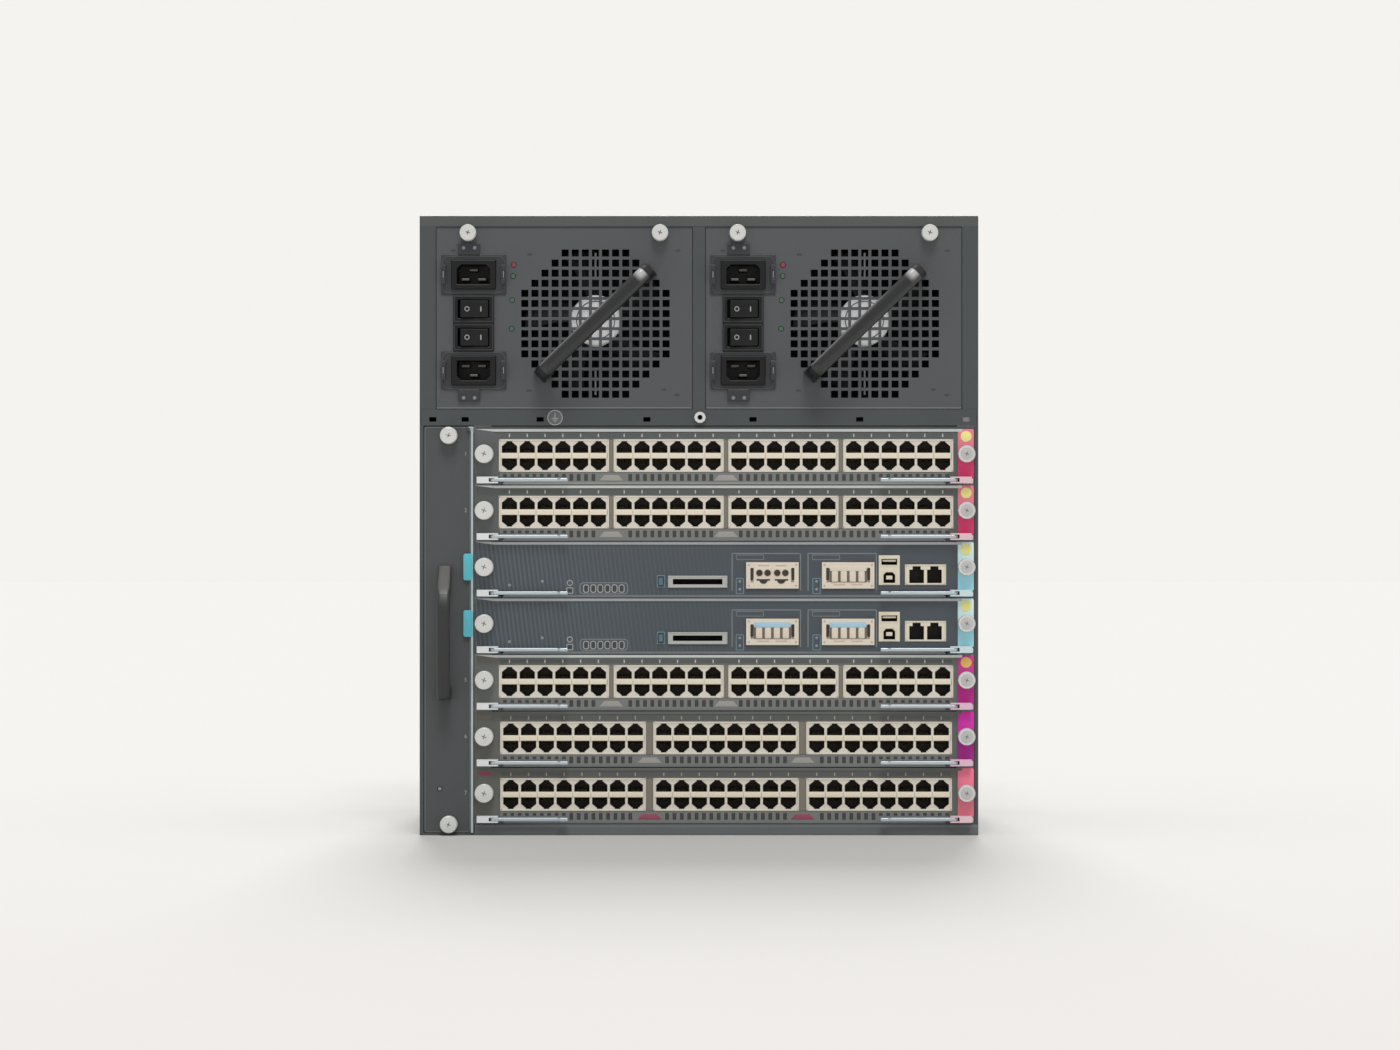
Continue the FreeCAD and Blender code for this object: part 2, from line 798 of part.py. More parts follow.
def retainers(left):
    """The plug retainers: a window plate with two slotted ears round each inlet."""
    solids = []
    x = left + entry_x
    for zc, h, turned in ((inlet_1_z, retainer_h_1, 1), (inlet_2_z, retainer_h_2, -1)):
        z = psu_face_z + zc
        y0 = y_front - retainer_t
        plate = slab(x, z, retainer_w, h, y0, y_front)
        window = slab(x, z, inlet_w + 2 * fit_gap, inlet_h + 2 * fit_gap, y0, y_front)
        pieces = [plate.cut(window)]
        for side in (-1, 1):
            ear_x = x + side * (retainer_w - ear_w) / 2
            ear = slab(ear_x, z, ear_w, ear_h, y_front - ear_proud, y_front)
            slot = slab(ear_x, z, ear_slot_w, ear_slot_h, y_front - ear_proud, y0)
            pieces.append(ear.cut(slot))
        bail_z = z + turned * (h + bail_h) / 2
        pieces.append(slab(x - ear_w, bail_z, bail_w, bail_h, y_front - bail_t, y_front))
        solids.append(joined(pieces))
    return solids


def psu_rotor(left):
    """The supply's fan rotor behind the grille."""
    shape = rotor(fan_hub_r, fan_hub_sides, fan_tip_r, fan_l, fan_blades)
    shape.translate(Vec(left + grille_x, y_front + fan_front_gap, psu_face_z + grille_z))
    return shape


# ---------------------------------------------------------------- cards
def clevis(z, sign):
    """The pivot bracket of an ejector lever; sign -1 is the left one."""
    edge = card_left if sign < 0 else card_right
    outer = edge - sign * clevis_outer_in
    root = edge - sign * (pivot_in - lever_boss_r - clevis_root_gap)
    tip = edge - sign * (pivot_in + lever_boss_r)
    low = z - lever_drop - lever_t / 2 - seat_gap
    high = z - lever_drop + lever_t / 2 + seat_gap
    outline = [
        (outer, low - clevis_lug_t),
        (tip, low - clevis_lug_t),
        (tip, low),
        (root, low),
        (root, high),
        (tip, high),
        (tip, high + clevis_lug_t),
        (outer, high + clevis_lug_t),
    ]
    return prism_y(outline, y_front - clevis_d, y_front)


def lever(z, sign):
    """An ejector lever, closed along the foot of the card face."""
    r, w = lever_boss_r, lever_bar_w
    outline = [
        (0, r),
        (-r * hexagon_side, r / 2),
        (-r * hexagon_side, -r / 2),
        (0, -r),
        (lever_l - lever_hook_l - lever_hook_ramp, -r),
        (lever_l - lever_hook_l, -r - lever_hook_w),
        (lever_l, -r - lever_hook_w),
        (lever_l, -r + w / 2),
        (2 * r, w - r),
    ]
    edge = card_left if sign < 0 else card_right
    x = edge - sign * pivot_in
    y = y_front - pivot_out
    z0 = z - lever_drop - lever_t / 2
    return prism_z([(x - sign * u, y + v) for u, v in outline], z0, z0 + lever_t)


def carrier(slot, windows):
    """A card's face and board, its rear connector and its two captive screws."""
    z = slot_z(slot)
    y_in = y_front + sheet
    z_low, z_high = z + face_low, z + face_high
    flange_x = (guide_left + rail_w, guide_right - rail_w)
    flange_y = (y_front, y_in + face_flange_d)
    strip_x = (card_left + pivot_in, card_right - pivot_in + 2 * lever_boss_r)
    face = joined(
        [
            box(card_left, card_right, y_front, y_in, z_low, z_high),
            box(*flange_x, *flange_y, z_high - inner_sheet, z_high),
            box(*flange_x, *flange_y, z_low, z_low + inner_sheet),
            box(*strip_x, y_front - lip_strip_proud, y_front, z_high - lip_strip_h, z_high),
            clevis(z, -1),
            clevis(z, 1),
        ]
    )
    face = pierced(face, windows)
    top = z + board_top
    board = box(board_left, board_right, y_board, y_board + board_l, top - board_t, top)
    x0 = header_x - header_w / 2
    y_end = y_backplane - header_d - slide_gap
    plug = box(x0, x0 + header_w, y_end - header_d, y_end, top, top + header_h)
    screws = [
        knob(card_left + screw_left_in, z, captive_screw_d, y_front - captive_screw_l, y_front),
        knob(card_right - screw_right_in, z, captive_screw_right_d, y_front - captive_screw_l, y_front),
    ]
    return [face, board, plug] + screws


def jack_blocks(slot, columns):
    """The shielded two-row jack blocks of a line card, and the bar between their rows."""
    z = slot_z(slot) - block_drop
    gap = six_port_gap if columns == 6 else eight_port_gap
    columns = int(columns)
    blocks = 24 // columns
    block_w = columns * port_pitch + 2 * block_rim
    centre = card_mid + field_shift
    y_end = y_front + port_depth + block_back
    solids = []
    windows = []
    for b in range(blocks):
        x = centre + (b - (blocks - 1) / 2) * (block_w + gap)
        body = slab(x, z, block_w, block_h, y_front, y_end)
        pockets = []
        for c in range(columns):
            px = x + (c - (columns - 1) / 2) * port_pitch
            pockets.append(slab(px, z, port_w, port_pair_h, y_front, y_front + port_depth))
        solids.append(pierced(body, pockets))
        solids.append(slab(x, z, block_w - 2 * block_rim, mid_bar_h, y_front - mid_bar_proud, y_front))
        windows.append(slab(x, z, block_w + 2 * fit_gap, block_h + 2 * fit_gap, y_front, y_front + sheet))
    return solids, windows


def control_parts(slot):
    """A control card's connectors, its transceivers, its eject button and the face windows for them."""
    z = slot_z(slot)
    y0, y_in = y_front, y_front + sheet
    cf_at, cf_z = card_left + cf_x, z - cf_drop
    cf_bezel = slab(cf_at, cf_z, cf_w, cf_h, y0 - cf_bezel_proud, y_in)
    cf_half, cf_top = cf_w / 2 - cf_body_in, cf_z + cf_h / 2 - cf_body_in
    cf_end = y0 + cf_depth + block_back
    cf_body = box(cf_at - cf_half, cf_at + cf_half, y_in, cf_end, z + board_top, cf_top)
    cf_mouth = slab(cf_at, cf_z, cf_slot_w, cf_slot_h, y0 - cf_bezel_proud, y0 + cf_depth)
    connectors = [joined([cf_bezel, cf_body]).cut(cf_mouth)]

    usb_at, usb_z = card_left + usb_x, z - usb_drop
    y_out = y0 - socket_proud
    usb_body = slab(usb_at, usb_z, usb_w, usb_h, y_out, y0 + usb_depth + block_back)
    usb_a = slab(usb_at, usb_z + usb_a_up, usb_a_w, usb_a_h, y_out, y0 + usb_depth)
    usb_b_points = clipped(usb_at, usb_z - usb_b_down, usb_b_w, usb_b_h, 0, usb_b_chamfer)
    usb_b = prism_y(usb_b_points, y_out, y0 + usb_depth)
    connectors.append(pierced(usb_body, [usb_a, usb_b]))

    con_at, con_z = card_left + console_x, z - console_drop
    con_body = slab(con_at, con_z, console_w, console_h, y_out, y0 + port_depth + block_back)
    ports = []
    for side in (-1, 1):
        px = con_at + side * port_pitch / 2
        port_z = con_z - console_notch_h / 2
        half, low, high = port_w / 2, port_z - console_port_h / 2, port_z + console_port_h / 2
        notch = console_notch_w / 2
        outline = [
            (px - half, low),
            (px + half, low),
            (px + half, high),
            (px + notch, high),
            (px + notch, high + console_notch_h),
            (px - notch, high + console_notch_h),
            (px - notch, high),
            (px - half, high),
        ]
        ports.append(prism_y(outline, y_out, y0 + port_depth))
    connectors.append(pierced(con_body, ports))

    modules = []
    fitted = (
        (cf_at, cf_z, cf_w, cf_h),
        (usb_at, usb_z, usb_w, usb_h),
        (con_at, con_z, console_w, console_h),
        (card_left + eject_x, z - eject_drop, eject_w, eject_h),
    )
    windows = [slab(x, zc, w + 2 * fit_gap, h + 2 * fit_gap, y0, y_in) for x, zc, w, h in fitted]
    for bay in bay_xs:
        at, mod_z = card_left + bay, z - module_drop
        bezel = slab(at, mod_z, module_w, module_h, y0 - module_proud, y_in)
        low = z + board_top
        half = module_body_w / 2
        tail = box(at - half, at + half, y_in, y_in + module_body_l, low, low + module_body_h)
        y_face = y0 - module_proud
        mouths = []
        for side in (-1, 1):
            optic = at + side * optic_pitch / 2
            edge = at + side * (module_w / 2 - 2 * latch_slot_w)
            mouths.append(slab(optic, mod_z, optic_w, optic_h, y_face, y0 + optic_depth))
            mouths.append(slab(edge, mod_z, latch_slot_w, latch_slot_h, y_face, y0))
        modules.append(pierced(joined([bezel, tail]), mouths))
        windows.append(slab(at, mod_z, module_w + 2 * fit_gap, module_h + 2 * fit_gap, y0, y_in))

    bx, bz = card_left + eject_x, z - eject_drop
    stem_h = min(eject_h, 2 * (bz - (z + board_top) - seat_gap))
    button = joined(
        [
            slab(bx, bz, eject_w, eject_h, y0 - eject_proud, y_in),
            slab(bx, bz, eject_w, stem_h, y_in, y0 + eject_stem_l),
        ]
    )
    return connectors, modules, button, windows


# ---------------------------------------------------------------- build
os.makedirs("parts", exist_ok=True)

save("chassis_shell", [chassis_shell()])
save("bay_shelf", [bay_shelf()])
save("bay_divider", [bay_divider()])
save("rear_panel", [rear_panel()])
save("backplane", backplane())
save("card_guides", [card_guide(-1), card_guide(1)])
save("esd_jack", [esd_jack()])

save("fan_tray_frame", tray_frame())
save("fan_tray_handle", [tray_handle()])
save("fan_tray_fan_frames", tray_fan_frames())
for number in range(tray_fan_count):
    save("fan_tray_rotor_%d" % (number + 1), [tray_rotor(number)])

for number, psu_left in enumerate(psu_lefts, 1):
    name = "psu_%d_" % number
    save(name + "panel", psu_panel(psu_left))
    save(name + "case", [psu_case(psu_left)])
    save(name + "handle", [psu_handle(psu_left)])
    save(name + "power_entry", power_entry(psu_left))
    save(name + "retainers", retainers(psu_left))
    save(name + "rocker_1", [rocker(psu_left, True)])
    save(name + "rocker_2", [rocker(psu_left, False)])
    save(name + "rotor", [psu_rotor(psu_left)])

line_cards = ((1, 6), (2, 6), (5, 6), (6, 8), (7, 8))
control_cards = (3, 4)

for card_slot, card_columns in line_cards:
    name = "line_card_%d_" % card_slot
    blocks, face_windows = jack_blocks(card_slot, card_columns)
    save(name + "carrier", carrier(card_slot, face_windows))
    save(name + "jacks", blocks)
    save(name + "lever_left", [lever(slot_z(card_slot), -1)])
    save(name + "lever_right", [lever(slot_z(card_slot), 1)])

for card_slot in control_cards:
    name = "control_card_%d_" % card_slot
    sockets, transceivers, eject_button, face_windows = control_parts(card_slot)
    save(name + "carrier", carrier(card_slot, face_windows))
    save(name + "connectors", sockets)
    save(name + "transceivers", transceivers)
    save(name + "eject_button", [eject_button])
    save(name + "lever_left", [lever(slot_z(card_slot), -1)])
    save(name + "lever_right", [lever(slot_z(card_slot), 1)])
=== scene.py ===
# %% [markdown]
# # Dressing a modular chassis switch
# A chassis switch is a steel cage: two power supplies on top, seven cards below them, and a fan tray
# down the left side.  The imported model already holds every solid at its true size.  In this lesson we
# keep those solids, give each one its finish, and model the fine pieces that the solids leave plain:
# the sockets, the knurled screws, the rounded handles and the fan rotors.

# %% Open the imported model
import math

import bmesh
import bpy
from mathutils import Matrix, Vector


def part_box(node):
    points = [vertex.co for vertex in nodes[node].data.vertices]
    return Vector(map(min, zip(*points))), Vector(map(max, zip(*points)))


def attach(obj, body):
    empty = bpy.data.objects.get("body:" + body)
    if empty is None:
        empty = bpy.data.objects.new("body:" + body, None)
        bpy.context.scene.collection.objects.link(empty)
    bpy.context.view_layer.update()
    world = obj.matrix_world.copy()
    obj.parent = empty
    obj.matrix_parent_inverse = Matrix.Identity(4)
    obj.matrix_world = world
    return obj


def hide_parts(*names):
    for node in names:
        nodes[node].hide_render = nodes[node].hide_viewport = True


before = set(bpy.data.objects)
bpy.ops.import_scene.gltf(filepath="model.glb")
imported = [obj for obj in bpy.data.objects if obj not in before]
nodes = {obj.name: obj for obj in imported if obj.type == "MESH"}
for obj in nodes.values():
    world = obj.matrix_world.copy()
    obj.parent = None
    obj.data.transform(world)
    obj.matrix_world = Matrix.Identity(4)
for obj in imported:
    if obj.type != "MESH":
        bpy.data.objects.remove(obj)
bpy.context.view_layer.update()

# %% [markdown]
# ## Places, read from the solids
# The front plane, the edges of the cards and the middle of each slot all come from the boxes of the
# solids, in millimetres, because small pieces are easier to think about in millimetres.  A place on a
# module is given from the module's own corner: along to the right, up, and out to the front.

# %% The main planes and edges
mm = 0.001


def reach(name):
    """The lowest and highest corner of a solid, in millimetres."""
    low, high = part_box(name)
    return low / mm, high / mm


shell_low, shell_high = reach("chassis_shell")
tray_low, tray_high = reach("fan_tray_frame")
front = shell_low.y
supplies = (1, 2)
slots = range(1, 8)
line_slots = (1, 2, 5, 6, 7)
control_slots = (3, 4)
columns = {1: 6, 2: 6, 5: 6, 6: 8, 7: 8}


def card_name(number):
    return ("line_card_%d" if number in line_slots else "control_card_%d") % number


def places_from(left, foot):
    """Turns along, up and out from a module's corner into a place in the frame."""
    return lambda along, up, out=0.0: (left + along, front - out, foot + up)


card_low, card_high = reach("line_card_1_carrier")
card_left, card_right = card_low.x, card_high.x
card_width = card_right - card_left
card_middle = (card_left + card_right) / 2
half_face = 24.2
level = {n: reach(card_name(n) + "_carrier")[0].z + half_face for n in slots}
on_card = {n: places_from(card_left, level[n]) for n in slots}
on_supply = {n: places_from(*reach("psu_%d_panel" % n)[0].xz) for n in supplies}
on_tray = places_from(*tray_low.xz)
on_front = places_from(0.0, 0.0)
fan_along, fan_up = 125.1, 67.0
inlet_along, inlet_ups = 29.3, (105.5, 30.0)
print("front plane", round(front, 2), "cards from", round(card_left, 2), "to", round(card_right, 2))
print("slot heights", {n: round(z, 1) for n, z in level.items()})

# %% [markdown]
# ## A small set of moulds
# Most small pieces on a front panel are a plate, a disc, a ring or a frame with softened edges.  A
# mould is such a shape made once with mesh operators, facing the front, with its back on the plane
# y = 0.  Stamping puts a copy of it into a piece, so a strip of forty lamps is still one object.

# %% Moving and softening a working mesh
def turn(shape, degrees, axis, verts=None):
    matrix = Matrix.Rotation(math.radians(degrees), 3, axis)
    bmesh.ops.rotate(shape, cent=(0, 0, 0), matrix=matrix, verts=verts or list(shape.verts))


def stretch(shape, factors, verts=None):
    bmesh.ops.scale(shape, vec=factors, verts=verts or list(shape.verts))


def move(shape, offset, verts=None):
    bmesh.ops.translate(shape, vec=offset, verts=verts or list(shape.verts))


def soften(shape, geometry, width, steps=2, affect="EDGES"):
    bmesh.ops.bevel(
        shape, geom=list(geometry), offset=width, affect=affect, segments=steps, profile=0.5, material=-1
    )


def made_verts(made):
    return [v for v in made["geom"] if isinstance(v, bmesh.types.BMVert)]


def cast(shape):
    """Keeps a finished working mesh as a mould."""
    mesh = bpy.data.meshes.new("mould")
    shape.to_mesh(mesh)
    shape.free()
    return mesh


def thicken(shape, offset):
    """Draws the flat faces by an offset, and leaves a closed body."""
    made = bmesh.ops.extrude_face_region(shape, geom=list(shape.faces), use_keep_orig=True)
    move(shape, offset, made_verts(made))
    bmesh.ops.recalc_face_normals(shape, faces=shape.faces)


def raised(shape, depth, edge=0.0, steps=2):
    """Draws a flat shape forward, softens its front rim and keeps it as a mould."""
    thicken(shape, (0, -depth, 0))
    if edge:
        y = min(v.co.y for v in shape.verts)
        foremost = [e for e in shape.edges if all(abs(v.co.y - y) < 1e-5 for v in e.verts)]
        soften(shape, [e for e in foremost if any(f.normal.y > -0.5 for f in e.link_faces)], edge, steps)
    return cast(shape)


# %% Moulds: plates, frames, discs, rings and wedges
def sheet_face(w, h, corner=0.0):
    """A flat face in the front plane, with rounded corners."""
    shape = bmesh.new()
    bmesh.ops.create_grid(shape, x_segments=1, y_segments=1, size=0.5)
    stretch(shape, (w, h, 1))
    turn(shape, 90, "X")
    if corner:
        soften(shape, shape.verts, corner, 4, "VERTICES")
    return shape


def plate(w, h, depth, corner=0.0, edge=0.0):
    return raised(sheet_face(w, h, corner), depth, edge)


def window_frame(w, h, depth, border, corner=0.0, edge=0.0):
    """A rounded plate with a rounded window in it."""
    shape = sheet_face(w, h, corner)
    pane = list(shape.faces)
    bmesh.ops.inset_individual(shape, faces=pane, thickness=border, use_even_offset=True)
    bmesh.ops.delete(shape, geom=pane, context="FACES_ONLY")
    return raised(shape, depth, edge, 1)


def disc(radius, depth, sides=32, edge=0.0):
    shape = bmesh.new()
    bmesh.ops.create_circle(shape, cap_ends=True, radius=radius, segments=sides)
    turn(shape, 90, "X")
    return raised(shape, depth, edge)


def ring(outer, inner, depth, sides=32):
    """A flat ring: two circles, bridged and drawn forward."""
    shape = bmesh.new()
    for radius in (outer, inner):
        bmesh.ops.create_circle(shape, cap_ends=False, radius=radius, segments=sides)
    bmesh.ops.bridge_loops(shape, edges=list(shape.edges))
    turn(shape, 90, "X")
    return raised(shape, depth)


def wedge(w, top, h, depth, edge=0.0):
    """A plate whose upper edge has its own width: a badge, or with no upper edge a triangle."""
    shape = sheet_face(w, h)
    stretch(shape, (max(top / w, 0.001), 1, 1), [v for v in shape.verts if v.co.z > 0])
    bmesh.ops.remove_doubles(shape, verts=shape.verts, dist=0.02)
    return raised(shape, depth, edge)


def stamp(work, mesh, at, ink=None, turned=Matrix()):
    """Puts a copy of a mould into a working mesh; ink picks one of the piece's finishes."""
    copy = mesh.copy()
    copy.transform(Matrix.Translation(Vector(at)) @ turned)
    if ink is not None:
        copy.polygons.foreach_set("material_index", [ink] * len(copy.polygons))
    work.from_mesh(copy)
    bpy.data.meshes.remove(copy)


print("moulds ready: plate, window_frame, disc, ring, wedge")

# %% [markdown]
# ## Finishing a piece
# A finished piece is scaled to metres, shaded smooth except at its real edges, given its finishes and
# made to ride on the body that carries it, so it follows when a card slides out or a lever swings.

# %% From working mesh to finished piece
finishes = {}
made_pieces = []
sharp_angle = math.radians(32)


def put_in_scene(name, data):
    thing = bpy.data.objects.new(name, data)
    bpy.context.scene.collection.objects.link(thing)
    return thing


def finish_piece(work, name, body, listed, slot, *replaced):
    stretch(work, (mm, mm, mm))
    mesh = bpy.data.meshes.new(name)
    work.to_mesh(mesh)
    work.free()
    for finish_name in listed.split():
        mesh.materials.append(finishes[finish_name])
    mesh.shade_smooth()
    mesh.set_sharp_from_angle(angle=sharp_angle)
    piece = put_in_scene(name, mesh)
    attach(piece, body)
    if replaced:
        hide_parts(*replaced)
    made_pieces.append((name, len(mesh.polygons)))


def build(name, body, listed, slot, at, rows):
    """A piece from a table of stamps: mould, along, up, out and ink."""
    work = bmesh.new()
    for mould, along, up, out, ink in rows:
        stamp(work, mould, at(along, up, out), ink)
    finish_piece(work, name, body, listed, slot)


def build_on_card(number, ending, listed, slot, rows):
    build(card_name(number) + ending, card_name(number), listed, slot, on_card[number], rows)


# %% [markdown]
# ## Shared surface effects
# Paint on sheet steel is never one flat colour: powder coat has a fine pebbled skin, and dust settles
# where a surface faces up.  Each effect is a node group, built once and placed in many finishes with
# its own values.  A group hands out only colours, values and heights; the shader stays outside.

# %% Node helpers
def feed(tree, socket, value):
    """Links a socket to another socket, or gives it a constant."""
    if isinstance(value, bpy.types.NodeSocket):
        tree.links.new(value, socket)
    else:
        socket.default_value = value


def node(tree, kind, feeds={}, **settings):
    made = tree.nodes.new("ShaderNode" + kind)
    for key, value in settings.items():
        setattr(made, key, value)
    for key, value in feeds.items():
        feed(tree, made.inputs[key], value)
    return made


def calculate(tree, operation, a, b, clamp=False):
    return node(tree, "Math", {0: a, 1: b}, operation=operation, use_clamp=clamp).outputs[0]


def product(tree, value, *factors):
    for factor in factors:
        value = calculate(tree, "MULTIPLY", value, factor)
    return value


def blend(tree, factor, a, b):
    """A mix of two colours."""
    return node(tree, "Mix", {0: factor, 6: a, 7: b}, data_type="RGBA").outputs[2]


def ramp(tree, value, start, end):
    """Runs softly from 0 to 1 between two values of a socket."""
    feeds = {"Value": value, "From Min": start, "From Max": end}
    return node(tree, "MapRange", feeds, interpolation_type="SMOOTHSTEP").outputs[0]


def axes(tree, place):
    """The three parts of a place or a direction."""
    return node(tree, "SeparateXYZ", {0: place}).outputs


def noise(tree, place, scale, detail):
    return node(tree, "TexNoise", {"Vector": place, "Scale": scale, "Detail": detail}).outputs[0]


def start_group(name, inputs, outputs):
    """A new node group, with the sockets that it takes in and the sockets to fill."""
    tree = bpy.data.node_groups.new(name, "ShaderNodeTree")
    for label, kind, value in inputs:
        socket = tree.interface.new_socket(label, in_out="INPUT", socket_type="NodeSocket" + kind)
        if value is not None:
            socket.default_value = value
    for label, kind in outputs:
        tree.interface.new_socket(label, in_out="OUTPUT", socket_type="NodeSocket" + kind)
    return tree, tree.nodes.new("NodeGroupInput").outputs, tree.nodes.new("NodeGroupOutput").inputs


def tone(red, green, blue):
    """A colour given as 0-255 screen values, turned into the linear values that a shader wants."""
    def straight(v):
        v = v / 255
        return v / 12.92 if v <= 0.04045 else ((v + 0.055) / 1.055) ** 2.4
    return (straight(red), straight(green), straight(blue), 1.0)


# %% The grain group: a fine skin with slow shifts of tone
middle_grey = (0.5, 0.5, 0.5, 1)
grain_group, given, result = start_group(
    "fine_grain",
    [
        ("Place", "Vector", None),
        ("Colour", "Color", middle_grey),
        ("Fineness", "Float", 900),
        ("Shift", "Float", 0.06),
    ],
    [("Colour", "Color"), ("Height", "Float"), ("Value", "Float")],
)
tree = grain_group
fine = noise(tree, given["Place"], given["Fineness"], 3.0)
slow = noise(tree, given["Place"], 14.0, 4.0)
both = calculate(tree, "ADD", product(tree, fine, 0.5), product(tree, slow, 0.5))
swing = product(tree, calculate(tree, "SUBTRACT", both, 0.5), given["Shift"], 4.0)
brightness = calculate(tree, "ADD", swing, 1.0)
shade = node(tree, "HueSaturation", {"Color": given["Colour"], "Value": brightness})
for label, value in (("Colour", shade.outputs[0]), ("Height", fine), ("Value", both)):
    feed(tree, result[label], value)

# %% The dust group: a thin pale film on what faces up
dust_group, given, result = start_group(
    "settled_dust",
    [("Place", "Vector", None), ("Colour", "Color", middle_grey), ("Amount", "Float", 0.25)],
    [("Colour", "Color"), ("Mask", "Float")],
)
tree = dust_group
upward = calculate(tree, "MAXIMUM", axes(tree, node(tree, "NewGeometry").outputs["Normal"])["Z"], 0.0)
patch = noise(tree, given["Place"], 60.0, 5.0)
film = calculate(tree, "MULTIPLY", product(tree, upward, patch), given["Amount"], clamp=True)
feed(tree, result["Colour"], blend(tree, film, given["Colour"], tone(176, 172, 164)))
feed(tree, result["Mask"], film)
print("groups:", [g.name for g in bpy.data.node_groups])

# %% [markdown]
# ## Finishes
# One function sets up the common build of a finish: a place to read the pattern from, the grain, the
# dust, a bump made from the grain's height, and one Principled shader.  Constants such as metallic or
# coat sit straight on the shader's own sockets, and only what varies over the surface is linked.

# %% The common build of a finish
bump_height = 0.00005
rough_spread = 0.12
dust_roughness = 0.3


def finish(
    name, colour, rough=0.5, metal=0, fineness=900, shift=0.06, bump=0.15, dust=0.2, coat=0, specular=0.5
):
    """Builds a finish; hands back its tree, its shader, its coordinates and its grain."""
    material = bpy.data.materials.new(name)
    material.use_nodes = True
    tree = material.node_tree
    shader = tree.nodes["Principled BSDF"]
    coordinates = node(tree, "TexCoord").outputs
    place = coordinates["Object"]
    feeds = {"Place": place, "Colour": colour, "Fineness": fineness, "Shift": shift}
    grain = node(tree, "Group", feeds, node_tree=grain_group)
    feeds = {"Place": place, "Colour": grain.outputs["Colour"], "Amount": dust}
    dusty = node(tree, "Group", feeds, node_tree=dust_group)
    spread = product(tree, grain.outputs["Value"], rough_spread)
    varied = calculate(tree, "ADD", spread, rough - rough_spread / 2)
    dulled = product(tree, dusty.outputs["Mask"], dust_roughness)
    feeds = {"Strength": bump, "Distance": bump_height, "Height": grain.outputs["Height"]}
    relief = node(tree, "Bump", feeds)
    for label, value in (
        ("Base Color", dusty.outputs["Colour"]),
        ("Roughness", calculate(tree, "ADD", varied, dulled, clamp=True)),
        ("Normal", relief.outputs[0]),
        ("Metallic", metal),
        ("Coat Weight", coat),
        ("Specular IOR Level", specular),
    ):
        feed(tree, shader.inputs[label], value)
    finishes[name] = material
    return tree, shader, coordinates, grain


